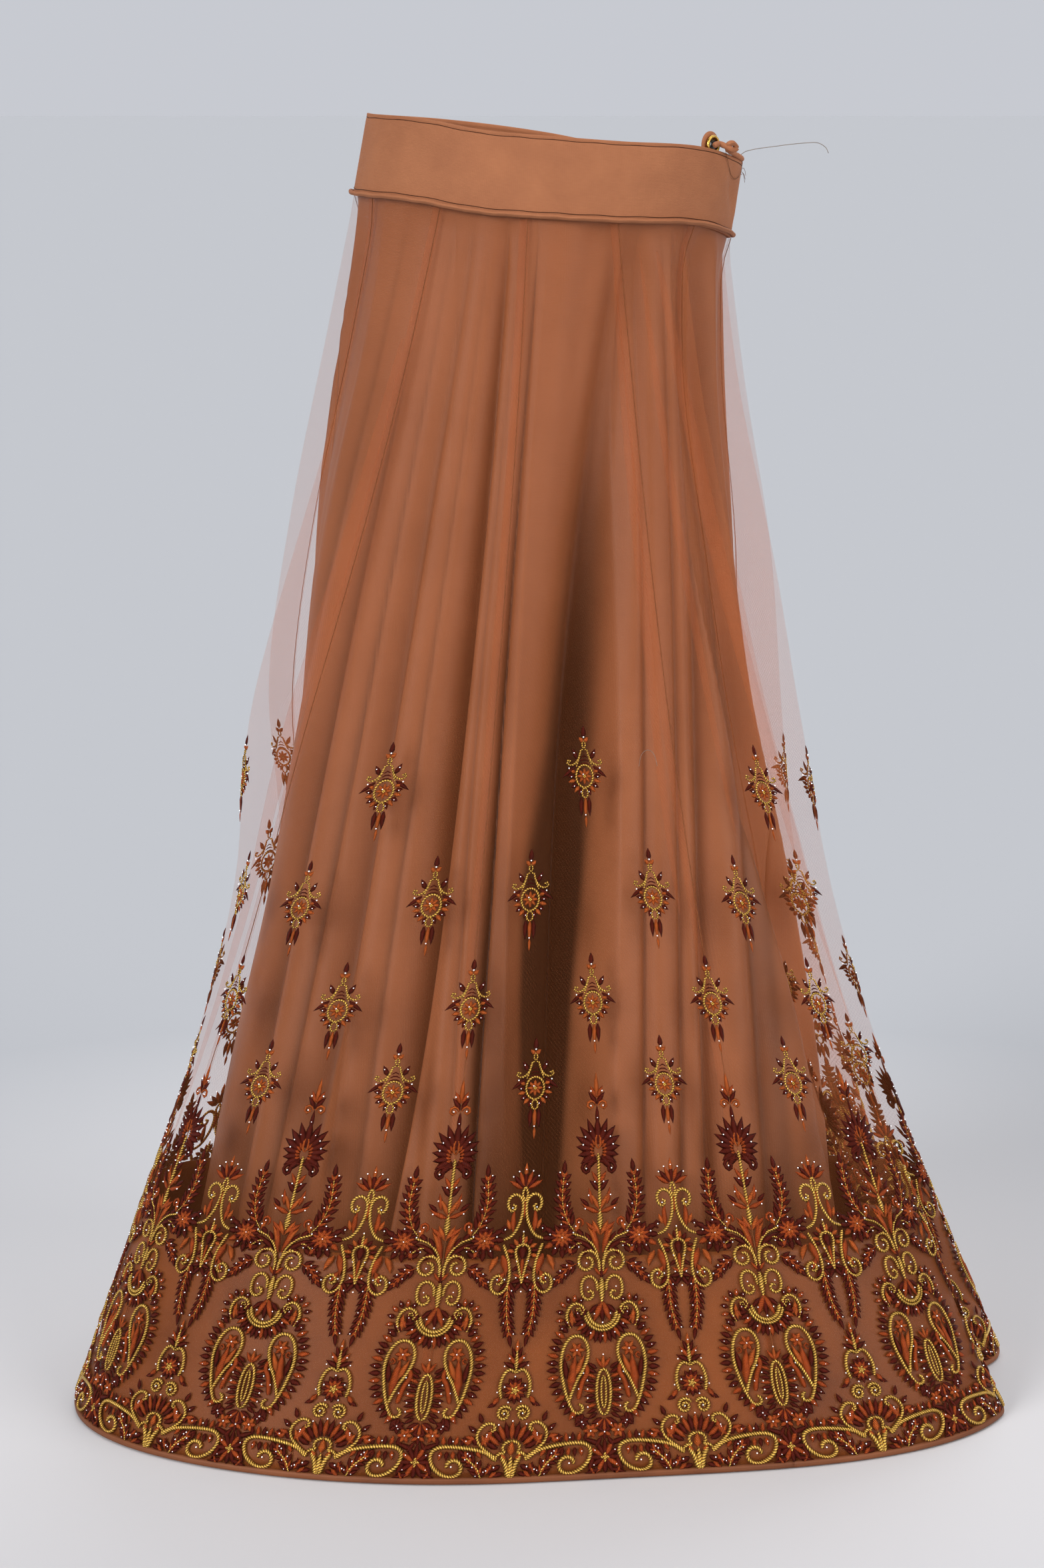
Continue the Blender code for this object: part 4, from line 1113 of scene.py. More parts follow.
def build_closure():
    """The round tab, the ribbed gilt rim with its dark stone, and the rolled loop over them."""
    place_at = ClosureFrame()
    build_tab(place_at)
    build_button(place_at)
    along = [top_edge(bearing) + (out, -out, over) for bearing, over, out in LOOP_AND_KNOT]
    lying = RIM_HALF + SEAM_GAP + LOOP_RADIUS
    on_button = [place_at.at(side, up, lying) for side, up in LOOP_ON_BUTTON]
    path = smooth_path(along + on_button, 0.0007)
    radius = LOOP_RADIUS * (0.84 + 0.12 * np.sin(np.linspace(0, 34, len(path))) ** 2)
    radius[[0, -1]] *= (0.6, 0.5)
    loop = add_tube("rolled_loop", path, radius, 14, BAND, squash=0.9)
    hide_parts("closure_loop")


def build_band_stitches():
    """Two lines of stitches round the band: under its top edge and over its piping."""
    for name, rise in (("top_stitches", TOP_STITCH_RISE), ("lower_stitches", LOWER_STITCH_RISE)):
        for side, start, end in (("front", -90.5, 87.5), ("back", 88.5, 268.5)):
            own = np.radians(np.linspace(start, end, 241))
            line = band_surface(own, rise + 0.004 * np.sin(own * 23))
            out = place(own, BAND_STITCH_RADIUS / 5 + 0 * own, 0 * own)
            add_tube(f"{name}_{side}", line + out, BAND_STITCH_RADIUS, 5, DARK_THREAD)


def build_loose_threads():
    """The long pale thread from the loop's knot, a thin thread looped over the band's edge, one
    that lies on the net, and three short ones at the closure."""
    knot = top_edge(KNOT_BEARING) + (-0.0012, -0.0022, 0.004)
    path = smooth_path([knot + (x, 0.0015 * np.sin(90 * x), z) for x, z in LOOSE_THREAD], 0.0015)
    thread = add_tube("loose_thread", path, LOOSE_THREAD_WIDTH / 2, 5, PALE_THREAD)
    edge = [band_spot(*spot) * (1.006, 1.006, 1.0) for spot in THREAD_OVER_EDGE]
    edge[0] = edge[0] + (0.0, -0.001, 0.003)
    edge[-1] = edge[-1] + (0.0, 0.0, 0.0035)
    add_tube("thread_over_edge", smooth_path(edge, 0.002), 0.00022, 4, SEW_THREAD)
    across, falls = np.transpose(THREAD_ON_NET)
    rows = (falls / NET_ROW_FALLS[-1] * (CHART_ROWS - 1)).round().astype(int)
    points, normals = net_at(across, rows)
    path = smooth_path(points + 0.0008 * normals, 0.002)
    add_tube("thread_on_net", path, 0.0002, 4, PALE_THREAD)
    for number, (bearing, rise, lean) in enumerate(SHORT_THREADS):
        foot = band_spot(bearing, rise)
        curve = [foot, foot + (0.002, -0.001, -0.002 * lean), foot + (0.0032, -0.0004, -0.006)]
        path = smooth_path(curve, 0.0012)
        add_tube(f"short_thread_{number + 1}", path, 0.00018, 4, SEW_THREAD)


build_net()
build_seams()
build_seam_threads()
build_net_folds()
build_lining()
build_band()
build_piping()
build_facing()
build_closure()
build_band_stitches()
build_loose_threads()


# Embroidery: flat shapes in millimetres

GOLD_TINT, MAROON_TINT, RUST_TINT, AMBER_TINT, CRYSTAL_TINT = range(5)
TINTS = [GOLD, MAROON, RUST, AMBER, CRYSTAL]
DARK_LIGHT = (MAROON_TINT, RUST_TINT)
MOSTLY_DARK = (MAROON_TINT, MAROON_TINT, RUST_TINT)
# Worked thread stands wider than its drawn line
CORD_SWELL = 1.22
LEAF_SWELL = 1.4
LEAF_STRETCH = 1.18
BEAD_SWELL = 0.84
CORD_STEP = 2.6
BEAD_FACES = np.array(((0, 1, 4), (1, 2, 4), (2, 3, 4), (3, 0, 4), (3, 2, 1), (3, 1, 0)))


def oval(x, y, across, up, start=-90.0, end=270.0):
    """Points of an ellipse's arc between two angles."""
    turn = np.radians(np.linspace(start, end, 33))
    return np.stack([x + across * np.cos(turn), y + up * np.sin(turn)], axis=1)


def curl(x, y, radius, turns, start, spin=1):
    """A spiral that closes in on its centre by equal steps."""
    t = np.linspace(0, 1, int(22 * turns) + 2)
    turn = np.radians(start) + spin * 2 * np.pi * turns * t
    size = radius * (1 - 0.78 * t)
    return np.stack([x + size * np.cos(turn), y + size * np.sin(turn)], axis=1)


def sides_of(x):
    """A shape is worked on both sides of the middle line, or once if it stands on that line."""
    return (1, -1) if abs(x) > 0.01 else (1,)


class Motif:
    """Raised stitches gathered in flat places: points (x, y, lift) in millimetres."""

    def __init__(self):
        self.kept = []
        self.count = 0

    def keep(self, points, faces, tint, flat):
        self.kept.append((points, faces + self.count, np.full(len(faces), tint), flat))
        self.count += len(points)

    def arrays(self):
        return [np.concatenate(part) for part in zip(*self.kept)]

    def ridge(self, path, half, rise, tint, base):
        """A closed three-sided ridge along a path: right edge, top, left edge at each station."""
        ahead = unit(np.gradient(path, axis=0))
        left = np.stack([-ahead[:, 1], ahead[:, 0]], axis=1) * half[:, None]
        low = np.full((len(path), 1), base)
        corners = ((path - left, low), (path, low + rise[:, None]), (path + left, low))
        rings = np.stack([np.concatenate(corner, axis=1) for corner in corners], axis=1)
        at = np.arange(len(path) * 3).reshape(-1, 3)
        faces = np.concatenate([tube_faces(len(path), 3), [at[0], at[-1][::-1]]])
        flat = np.broadcast_arrays(run_along(path)[:, None], np.outer(half, (0, 1, 2)))
        self.keep(rings.reshape(-1, 3), faces, tint, np.stack(flat, axis=-1).reshape(-1, 2) / 1000)

    def cord(self, points, half=1.15, tint=GOLD_TINT, base=0.4):
        """A couched cord on a smooth curve through the points."""
        path = smooth_path(points, CORD_STEP)
        size = np.full(len(path), half * CORD_SWELL)
        size[[0, -1]] *= 0.6
        for side in sides_of(np.mean(points, axis=0)[0]):
            self.ridge(path * (side, 1), size, 0.95 * size, tint, base)

    def leaf(self, x, y, angle, length, half, tint, bend=0.0, base=0.3, sides=None):
        """A satin-stitch leaf: a ridge that swells from its foot and runs out to a point."""
        t = np.array((0.0, 0.3, 0.66, 1.0))
        heading = np.radians(angle + bend * (t - 0.5))[:-1]
        steps = np.stack([np.cos(heading), np.sin(heading)], axis=1) * np.diff(t)[:, None]
        path = np.concatenate([[[0, 0]], np.cumsum(steps, axis=0)]) * length * LEAF_STRETCH + (x, y)
        width = half * LEAF_SWELL * np.array((0.32, 1.0, 0.74, 0.05))
        for side in sides or sides_of(x):
            self.ridge(path * (side, 1), width, 0.22 + 0.5 * width, tint, base)

    def leaves(self, tint, *rows):
        """Leaves of one colour: x, y, angle, length, half width and, for a curved one, bend."""
        for x, y, angle, length, half, *bend in rows:
            self.leaf(x, y, angle, length, half, tint, *bend)

    def wreath(self, x, y, across, up, angles, length, half, tints, base=0.3, sides=None, lean=0.0):
        """Leaves that stand out from an oval at the given angles, in alternating colours."""
        for i, angle in enumerate(angles):
            turn = np.radians(angle)
            foot = (x + across * np.cos(turn), y + up * np.sin(turn))
            self.leaf(*foot, angle + lean, length, half, tints[i % len(tints)], base=base, sides=sides)

    def rays(self, x, y, inner, outer, start, end, count, half, tints, squash=1.0, base=0.3):
        """A wreath that reaches from an inner to an outer circle, and is mirrored as a whole."""
        angles = np.linspace(start, end, count)
        self.wreath(x, y, inner, inner * squash, angles, outer - inner, half, tints, base, sides_of(x))

    def bead(self, x, y, size=0.8, sides=None):
        """A cut crystal: a square foot that narrows to a small table."""
        size = size * BEAD_SWELL
        for side in sides or sides_of(x):
            foot = np.array((x * side, y)) + np.array(((1, 0), (0, 1), (-1, 0), (0, -1))) * size
            foot = np.concatenate([foot, np.full((4, 1), 0.8)], axis=1)
            points = np.concatenate([foot, [(x * side, y, 0.9 + 1.5 * size)]])
            self.keep(points, BEAD_FACES, CRYSTAL_TINT, np.zeros((5, 2)))

    def beads(self, size, *places):
        for x, y in places:
            self.bead(x, y, size)

    def bead_arc(self, x, y, across, up, angles, size=0.8, sides=None):
        for turn in np.radians(angles):
            self.bead(x + across * np.cos(turn), y + up * np.sin(turn), size, sides)

    def rose(self, x, y, size, squash=1.0):
        """A full flower: a dark ring of petals, a rust ring on it, a heart, and beads round it."""
        self.rays(x, y, size * 0.45, size * 1.24, 0, 330, 12, size * 0.2, (MAROON_TINT,), squash)
        self.rays(x, y, size * 0.18, size * 0.92, 18, 342, 10, size * 0.19, (RUST_TINT,), squash, 0.7)
        self.rays(x, y, size * 0.05, size * 0.48, 0, 288, 5, size * 0.16, (AMBER_TINT,), squash, 1.2)
        out = size * 1.16
        self.bead_arc(x, y, out, out * squash, (20, 92, 164, 236, 308), 0.8, sides_of(x))

    def sprig(self, points, pairs, length, half, spread=50.0, stem=GOLD_TINT, stem_half=0.5):
        """A stem with leaves in pairs that lean towards its tip, a leaf on the tip, and beads."""
        path = smooth_path(points, 1.0)
        headings = np.degrees(np.arctan2(*np.diff(path, axis=0).T[::-1]))
        self.cord(points, stem_half, stem, 0.6)
        for share in np.linspace(0.12, 0.93, pairs):
            at = int(share * (len(path) - 2))
            ahead = path[min(at + 2, len(path) - 1)]
            size = length * (1.05 - 0.35 * share)
            for lean in (spread, -spread):
                self.leaf(*path[at], headings[at] + lean, size, half, MAROON_TINT)
                self.leaf(*ahead, headings[at] + lean * 0.55, size * 0.66, half * 0.66, RUST_TINT, base=0.6)
        self.leaf(*path[-1], headings[-1], length * 0.9, half, MAROON_TINT)
        for i, share in enumerate((0.1, 0.28, 0.46, 0.64, 0.82, 1.0)):
            x, y = path[int(share * (len(path) - 1))]
            self.bead(x + 3.4 * (-1) ** i, y + 1.0, 0.75)


def paisley_group():
    """The large group over each seam and each kali's middle: two paisleys round a bud, a collar,
    curls and roses, and a tall palmette on a stem."""
    m = Motif()
    # Bud
    m.cord(oval(0, 63, 5.6, 17.6), 1.1)
    m.cord(oval(0, 63, 1.9, 12.5), 0.8)
    for i, y in enumerate(np.linspace(47, 81, 11)):
        m.leaf(7.2 - abs(y - 63) * 0.1, y, (y - 63) * 1.9, 7.6, 1.25, MOSTLY_DARK[i % 3])
        if i % 2:
            m.bead(13.0, y + 1.5)
    m.rays(0, 44, 2, 10.5, 205, 335, 7, 1.4, DARK_LIGHT)
    m.rays(0, 81, 1, 9, 55, 125, 3, 1.3, (RUST_TINT, AMBER_TINT))
    # Paisleys
    m.cord(
        [(-20, 54.5), (-17, 52), (-18.5, 48), (-24, 48.5), (-28.5, 57), (-32, 70), (-34, 85), (-31.5, 98),
         (-25.5, 106), (-18, 106.5), (-13, 101), (-12, 92), (-15.5, 82), (-21.5, 72), (-26, 62), (-27.5, 57)],
        1.25,
    )
    m.rays(-21, 96, 0.6, 5.6, 0, 300, 6, 1.5, (AMBER_TINT, RUST_TINT))
    m.cord(curl(-28.5, 91, 2.8, 1.1, 250), 0.8, RUST_TINT)
    m.cord([(-13.5, 84), (-13, 78), (-16.5, 72), (-19, 64), (-20.5, 58)], 1.7, RUST_TINT)
    # Dark petals with beads round the whole group
    angles = np.linspace(112, 246, 20)
    m.wreath(0, 83, 36.5, 42.5, angles, 7.8, 1.8, MOSTLY_DARK)
    m.bead_arc(0, 83, 41.5, 48, angles[1::2], 0.85)
    angles = np.linspace(60, 215, 7)
    m.wreath(-23, 122, 8.5, 11.5, angles, 5.4, 1.5, DARK_LIGHT)
    m.bead_arc(-23, 122, 12, 15, angles, 0.75)
    # Flowers under the bud and leaves between the two bottom scrolls
    m.rays(-11, 34, 0.8, 5.2, 0, 300, 6, 1.5, (AMBER_TINT, RUST_TINT))
    m.rays(-18, 41, 0.6, 5.6, 20, 340, 6, 1.5, (MAROON_TINT,))
    m.rays(0, 33, 0.6, 5.4, 30, 330, 6, 1.4, DARK_LIGHT)
    m.rays(0, 15, 1.5, 12.5, 0, 330, 12, 1.7, MOSTLY_DARK, 0.75)
    m.rays(0, 15, 0, 3.4, 0, 270, 4, 0.9, (GOLD_TINT,), base=0.9)
    # Collar
    m.cord(oval(0, 126, 11.6, 12.2, 180, 360), 1.45)
    m.cord(oval(0, 126, 14.3, 15.0, 190, 350), 1.2)
    m.cord([(-17.5, 123.5), (-14.8, 127), (-17, 131), (-22, 132.5), (-27, 128.5), (-28.8, 121), (-26, 113.5)])
    m.cord(curl(-18.5, 127, 2.6, 1.0, 200, -1), 0.8)
    m.rays(0, 126, 16.5, 24.5, 196, 344, 16, 1.6, MOSTLY_DARK)
    m.bead_arc(0, 126, 19.5, 19.5, (270, 300, 328))
    # Commas, spirals, branches and roses
    m.cord(
        [(-3.6, 142), (-4.3, 149), (-9, 153.5), (-14.5, 151.5), (-16.6, 145), (-15.4, 138), (-11, 135.2),
         (-7.2, 138), (-8.2, 142), (-11.6, 141)],
    )
    m.cord(
        [(-1.4, 157), (-1.8, 165), (-5.5, 172), (-12, 173.6), (-17.6, 169), (-17.6, 162), (-12.4, 158.6),
         (-7.4, 161.8), (-8, 167.4), (-12, 168.2)],
        1.2,
    )
    m.cord([(-1.6, 160), (-4, 174), (-12, 183.5), (-22.5, 187.5)], 0.95)
    m.cord([(-25.5, 175), (-19, 179.6), (-12, 179), (-5, 171)], 0.75)
    m.sprig([(-20, 164), (-28, 160), (-35, 151.5)], 4, 7.0, 1.4, stem=RUST_TINT)
    m.rose(-31.5, 185, 8.6)
    m.rays(-31.5, 185, 8.5, 15.5, 150, 330, 7, 1.9, MOSTLY_DARK)
    m.cord(curl(-17.5, 196, 3.8, 1.3, 300), 0.95, RUST_TINT)
    # Stem, side sprigs and palmette
    m.sprig([(-21, 189), (-27, 198), (-30.5, 213), (-28.5, 233)], 7, 9.4, 1.6)
    m.cord([(0, 207), (0, 228), (0, 247)])
    foot = [(0, 241), (-6, 241.5), (-11, 240.5), (-13.6, 236.5), (-10.4, 232.8), (-7.6, 236), (-10, 238)]
    m.cord(foot, 1.25, MAROON_TINT)
    for i, angle in enumerate(np.linspace(-50, 90, 8)):
        turn = np.radians(angle)
        foot = (3.5 * np.cos(turn), 249 + 5 * np.sin(turn))
        size = 11.5 + 6.5 * max(0, np.sin(turn))
        m.leaf(*foot, angle, size, 2.4, MAROON_TINT)
        if 0 < i < 7:
            m.leaf(*foot, angle + 6, size * 0.5, 1.1, RUST_TINT, base=0.9)
    m.cord(oval(0, 256, 2.0, 5.4), 0.7, AMBER_TINT, 1.1)
    m.bead_arc(0, 252, 12.5, 13.5, (8, 35, 62), 0.85)
    m.cord(curl(-5.0, 283, 4.0, 1.25, 0), 0.95, AMBER_TINT)
    # Single leaves and beads, from the hem up
    m.leaves(
        MAROON_TINT,
        (4, 24, 20, 12, 1.5), (4, 7, -15, 11, 1.5), (-29.5, 74, 96, 14, 1.8), (0, 130, 270, 12, 1.7),
        (3.5, 131, 318, 10, 1.5), (0, 151, 90, 12, 1.5), (-5.5, 173, 158, 19, 1.7, 40),
        (-8, 180, 118, 8.0, 1.7), (-14, 185, 132, 8.0, 1.7), (-19, 176, 215, 8.0, 1.7),
        (-10, 176, 225, 8.0, 1.7), (-24, 179, 235, 8.0, 1.7), (9, 208, 40, 8, 1.3),
        (0.5, 219, 42, 9.5, 1.7, -30), (0, 269, 90, 12, 1.3), (0.5, 284, 52, 9.5, 1.5, -20),
    )
    m.leaves(
        RUST_TINT,
        (-26.5, 64, 82, 25, 2.7), (0.3, 133, 293, 15, 2.1), (0.5, 154, 50, 7, 1.2),
        (-1.5, 172, 97, 22, 1.8, -20), (0.5, 188, 38, 12, 1.7, 20), (0.5, 203, 30, 14, 1.5, 30),
        (6, 209, 78, 11, 1.4), (0.5, 225, 58, 9, 1.4), (0.5, 289, 62, 8.5, 1.4),
    )
    m.leaves(
        AMBER_TINT,
        (-22.5, 76, 66, 15, 1.9), (-24.5, 115, 92, 11, 1.6), (-3, 177, 122, 15, 1.7, 30),
        (-20, 189, 70, 8, 1.5), (0.5, 186, 62, 11, 1.5), (0.5, 205, 55, 13, 1.5, -20), (0, 290, 90, 15, 1.5),
    )
    m.leaves(GOLD_TINT, (0, 153, 270, 20, 1.9), (0, 190, 90, 15, 1.8))
    m.beads(0.7, (-5.5, 39), (-20, 66), (-16, 78), (6.5, 124), (-11.5, 145))
    m.beads(0.75, (9, 10), (8, 20), (-18, 177), (-17.5, 196))
    m.beads(
        0.8,
        (0, 33), (-11, 34), (-18, 41), (0, 92), (-21, 96), (-12, 164), (12, 206), (9, 216), (3.6, 226),
        (10.4, 236), (0, 274),
    )
    m.beads(0.85, (0, 117), (5, 283), (4.6, 294))
    m.bead(-31.5, 185, 0.9)
    return m.arrays()


def fan_group():
    """The group between the paisley groups: a fan on a cup with scrolls to both sides, a rosette
    in an arch, hanging sprigs round a drop, and a pair of tall scrolls."""
    m = Motif()
    # Cup and fan
    m.cord([(-7.5, 18.5), (-3.6, 12), (-1.3, 2.5)], 1.7)
    m.leaf(0, 2, 90, 15, 2.0, GOLD_TINT, base=0.8)
    m.cord([(-12, 18), (-8.4, 20.8), (-4.6, 20.2), (-6.8, 24.4), (-4.6, 28), (0, 29.4)])
    m.rays(0, 19, 12, 23.5, 25, 155, 11, 1.75, DARK_LIGHT)
    m.bead_arc(0, 19, 25, 25, (38, 64, 90))
    # Spirals, rosette and arch
    m.cord(curl(-7.3, 49.5, 6.0, 1.6, 25))
    m.rose(0, 67, 7.4, 1.25)
    m.rays(0, 67, 0, 3.6, 0, 288, 5, 0.9, (GOLD_TINT,), 1.2, 1.5)
    m.cord([(-10.6, 61), (-12, 70), (-9.6, 79), (-5, 83.2), (0, 80.5)], 1.2)
    m.leaf(0, 82, 90, 15, 1.4, GOLD_TINT, base=0.7)
    # Scrolls at both sides and along the hem
    m.cord([(16, 36), (13.4, 38.5), (15.4, 42), (21.5, 42), (27, 36), (26.5, 29), (20, 22.5), (10.5, 16.5)])
    m.cord(curl(16.2, 38, 2.4, 0.9, 120), 0.8)
    m.cord(
        [(11.5, 15.5), (22, 22), (40, 25.3), (56, 25.6), (63, 21), (61.4, 12.5), (53.5, 6.3), (45, 4.8),
         (39.2, 8.2), (39.4, 13.6), (44, 16.4), (49, 14.8), (50.4, 11.2)],
        1.4,
    )
    for i, x in enumerate(np.linspace(30, 58, 7)):
        m.leaf(x, 27, 130 - 9 * i, 6.0, 1.4, DARK_LIGHT[i % 2])
        m.leaf(x - 3, 22.6, 235 + 8 * i, 5.6, 1.4, DARK_LIGHT[(i + 1) % 2])
    m.sprig([(23, 2.5), (26, 10), (35.5, 18.5)], 4, 7.6, 1.45, stem_half=0.8)
    # Hanging scrolls, sprigs and drop
    m.cord(
        [(15.8, 181.5), (11.4, 169), (9.8, 156), (12.6, 146), (18.6, 142.6), (23.8, 146.6), (23.6, 153.6),
         (19, 157.2), (15.4, 154), (17, 150.2), (20.2, 151)],
    )
    m.sprig([(9.9, 157), (10.9, 142), (10.4, 126), (7.4, 110)], 8, 9.6, 1.35, 40)
    m.cord([(0, 181.4), (-4.6, 179), (-5.6, 174), (-3.8, 167.5), (-1.5, 158), (0, 150)], 1.05)
    m.rays(0, 174.5, 7, 12.5, -15, 195, 10, 1.4, (AMBER_TINT, MAROON_TINT))
    # Tall scrolls
    m.cord(
        [(-16, 185), (-9, 188.4), (-3.4, 198), (-1.3, 209), (-2.8, 216), (-8, 219), (-13, 215.5), (-13, 209),
         (-9.6, 206.4), (-7.2, 209.6), (-9.6, 211.6)],
    )
    m.cord(curl(-15, 193, 3.2, 1.0, 270, -1), 1.0, MAROON_TINT)
    m.cord([(0, 213.5), (-2.1, 219), (0, 225)], 0.9)
    m.rays(0, 222, 3, 13.5, 28, 152, 7, 1.6, (RUST_TINT, MAROON_TINT))
    m.bead_arc(0, 223, 13.5, 14.5, (40, 65, 90))
    # Single leaves and beads, from the hem up
    m.leaves(
        MAROON_TINT,
        (8, 12, -25, 7.2, 1.5), (6, 7, -20, 7.2, 1.5), (16, 6, 80, 7.2, 1.5), (66, 16, 250, 10, 1.6),
        (67, 22, 60, 8, 1.5), (28.5, 36, 40, 7.0, 1.5), (27, 27, 50, 7.0, 1.5), (24, 43, 70, 7.0, 1.5),
        (-13.5, 58, 205, 7, 1.4), (0.5, 84, 28, 9.5, 1.6), (0.5, 91, 68, 9.0, 1.3), (0.5, 151, 305, 8, 1.5),
        (0.5, 153, 345, 7.5, 1.5), (3.0, 164, 320, 6, 1.2), (0, 180, 270, 10, 2.4),
    )
    m.leaves(
        RUST_TINT,
        (11, 8, -45, 7.2, 1.5), (15, 13, -60, 7.2, 1.5), (64, 8, 300, 8, 1.4), (23.5, 27, 118, 12, 2.3, -30),
        (29, 31, 15, 7.0, 1.5), (33, 28, 25, 7.0, 1.5), (-12.5, 62, 235, 8, 1.6), (0.5, 87, 52, 9.5, 1.5),
        (0.5, 155, 25, 6, 1.2), (14, 160, 300, 9, 1.6), (0, 171, 270, 14, 1.2), (16.5, 173, 262, 15, 2.4, 30),
        (-8.4, 191, 86, 15, 1.7, -20), (0, 214, 270, 12, 1.0),
    )
    m.leaves(
        AMBER_TINT,
        (-4.4, 15, 120, 6, 1.5), (0, 19, 90, 8.5, 2.3), (19.5, 26, 60, 8, 1.6), (0, 96, 90, 9, 1.3),
        (20, 172, 290, 12, 1.9, -30), (-11, 193, 110, 7, 1.4), (0, 232, 90, 9, 1.3),
    )
    m.leaves(GOLD_TINT, (0, 177, 90, 12, 1.3))
    m.bead(4.6, 168, 0.7)
    m.beads(
        0.75,
        (19, 9), (56, 20), (34, 21), (36, 30), (46, 30), (20, 33), (-14, 66), (9.4, 86), (19.4, 154),
        (4.6, 155), (-15, 193), (-9.8, 209),
    )
    m.beads(0.8, (13, 11), (31, 38), (-7.3, 49.5), (5.6, 92), (0, 101), (0, 191))
    m.beads(0.85, (46.5, 12), (0, 144))
    return m.arrays()


def buti():
    """The small spray that is scattered over the net: a gold oval round a flower, two arms that
    end in curls, dark leaves with beads, and three tassels. Its oval is at the middle."""
    m = Motif()
    m.cord([(0, 21.4), (-1.7, 24.4), (0, 27.4)], 0.6)
    m.cord([(-0.4, 21), (-2.8, 20), (-4.6, 14), (-7.0, 7.6)], 0.65)
    m.cord([(-2.8, 19), (-5.6, 12.6), (-9.4, 9.2), (-13.2, 9.0)], 0.75)
    m.cord(curl(-13.2, 11.4, 2.4, 1.1, 270, -1), 0.75)
    for y, half in ((15.5, 2.6), (12.6, 3.5), (9.8, 4.3)):
        m.cord([(-half, y - 1), (0, y + 0.4), (half, y - 1)], 0.45, MAROON_TINT)
    m.cord(oval(0, 0, 7.4, 8.8), 0.8)
    m.rays(0, 0, 1.1, 5.8, 0, 315, 8, 1.1, (AMBER_TINT,))
    m.rays(0, 0, 0, 1.5, 0, 270, 4, 0.6, (GOLD_TINT,), base=0.8)
    m.bead(-1.2, 1.6, sides=(1,))
    angles = np.linspace(162, 252, 6)
    m.wreath(0, 0, 8.6, 9.8, angles, 5.2, 1.35, (AMBER_TINT, MAROON_TINT), lean=-6)
    m.bead_arc(0, 0, 11.6, 12.6, angles[1::2])
    m.cord(oval(0, -13, 2.6, 4.0), 0.7)
    m.leaves(
        MAROON_TINT,
        (-3.2, -16.5, 268, 12.5, 1.5), (-8, 7.6, 216, 12, 1.3), (-6, 13.5, 118, 7.5, 1.5),
        (0, 30, 90, 8, 1.6),
    )
    m.leaf(0.4, 26.5, 45, 4.4, 1.4, AMBER_TINT)
    m.leaf(0.2, -17, 270, 13, 1.4, AMBER_TINT, sides=(1,))
    m.leaf(0.3, -31, 270, 8, 0.9, AMBER_TINT, sides=(1,))
    m.bead(0, -30)
    m.beads(0.85, (-13.6, 6.6), (-8.8, 18.4))
    m.bead(0, 30.5, 0.95)
    return m.arrays()


def motif_chart():
    """The net's points and normals at even heights along the cloth above the hem."""
    up = np.arange(int(MOTIF_TOP / MOTIF_ROW) + 1) * MOTIF_ROW
    columns = np.concatenate([NET_POINTS, NET_NORMALS], axis=-1)[::-1].swapaxes(0, 1)
    return np.stack(
        [read_columns(up, BINDING_HEIGHT + run_along(column[:, :3]), column) for column in columns], axis=1
    )


CHART = motif_chart()
CHART_WIDTHS = np.linalg.norm(np.diff(CHART[..., :3], axis=1), axis=-1).sum(axis=1) / KALIS


def spread_border(points):
    """The border's rows stand further apart above the hem scrolls: y grows by 7.5 (1 - e^(-y/32))
    and, over 190 mm, by a twentieth more."""
    y = points[:, 1]
    grown = y + 7.5 * (1 - np.exp(-np.maximum(y, 0) / 32)) + 0.05 * np.maximum(y - 190, 0)
    return np.stack([points[:, 0], grown, points[:, 2]], axis=1)


def lay_on_net(flat_points, across, up):
    """Flat millimetre points placed round a spot of the net, given in kalis across and metres up."""
    x, y, lift = flat_points.T / 1000
    level = np.clip(up + y, 0, MOTIF_TOP - MOTIF_ROW) / MOTIF_ROW
    row = np.minimum(level.astype(int), len(CHART) - 2)
    width = np.interp(level, np.arange(len(CHART)), CHART_WIDTHS)
    turn = np.mod(across + x / width, KALIS) * KALI_COLUMNS
    column = np.minimum(turn.astype(int), CHART.shape[1] - 2)
    part_up, part_across = (level - row)[:, None], (turn - column)[:, None]
    low = CHART[row, column] * (1 - part_across) + CHART[row, column + 1] * part_across
    high = CHART[row + 1, column] * (1 - part_across) + CHART[row + 1, column + 1] * part_across
    at = low * (1 - part_up) + high * part_up
    return at[:, :3] + at[:, 3:] * (lift[:, None] - STITCH_DEPTH)


# Where the small sprays stand: place across each kali, and height above the hem
BUTI_ROWS = (
    (0.5, 0.553), (0.23, 0.459), (0.8, 0.459), (0.0, 0.376), (0.5, 0.376), (0.27, 0.311), (0.76, 0.311),
)


def build_embroidery():
    """Every group laid on the net, joined into one piece for each three kalis."""
    groups = {"paisley": paisley_group(), "fan": fan_group(), "buti": buti()}
    for name in ("paisley", "fan"):
        groups[name][0] = spread_border(groups[name][0])
    for side, kalis in SIDES.items():
        border = [("paisley", k + part, 0.0) for k in kalis for part in (0.0, 0.5)]
        border += [("fan", k + part, 0.0) for k in kalis for part in (0.25, 0.75)]
        scattered = [("buti", k + part, up) for k in kalis for part, up in BUTI_ROWS]
        for kind, spots in (("border", border), ("sprays", scattered)):
            laid, count = [], 0
            for group, across, up in spots:
                flat_points, own_faces, own_tints, own_flats = groups[group]
                laid.append((lay_on_net(flat_points, across, up), own_faces + count, own_tints, own_flats))
                count += len(flat_points)
            points, faces, tints, flats = (np.concatenate(part) for part in zip(*laid))
            make_piece(f"embroidered_{kind}_{side}", points, faces, TINTS, flats, tints)


build_embroidery()


# Floor, light and camera


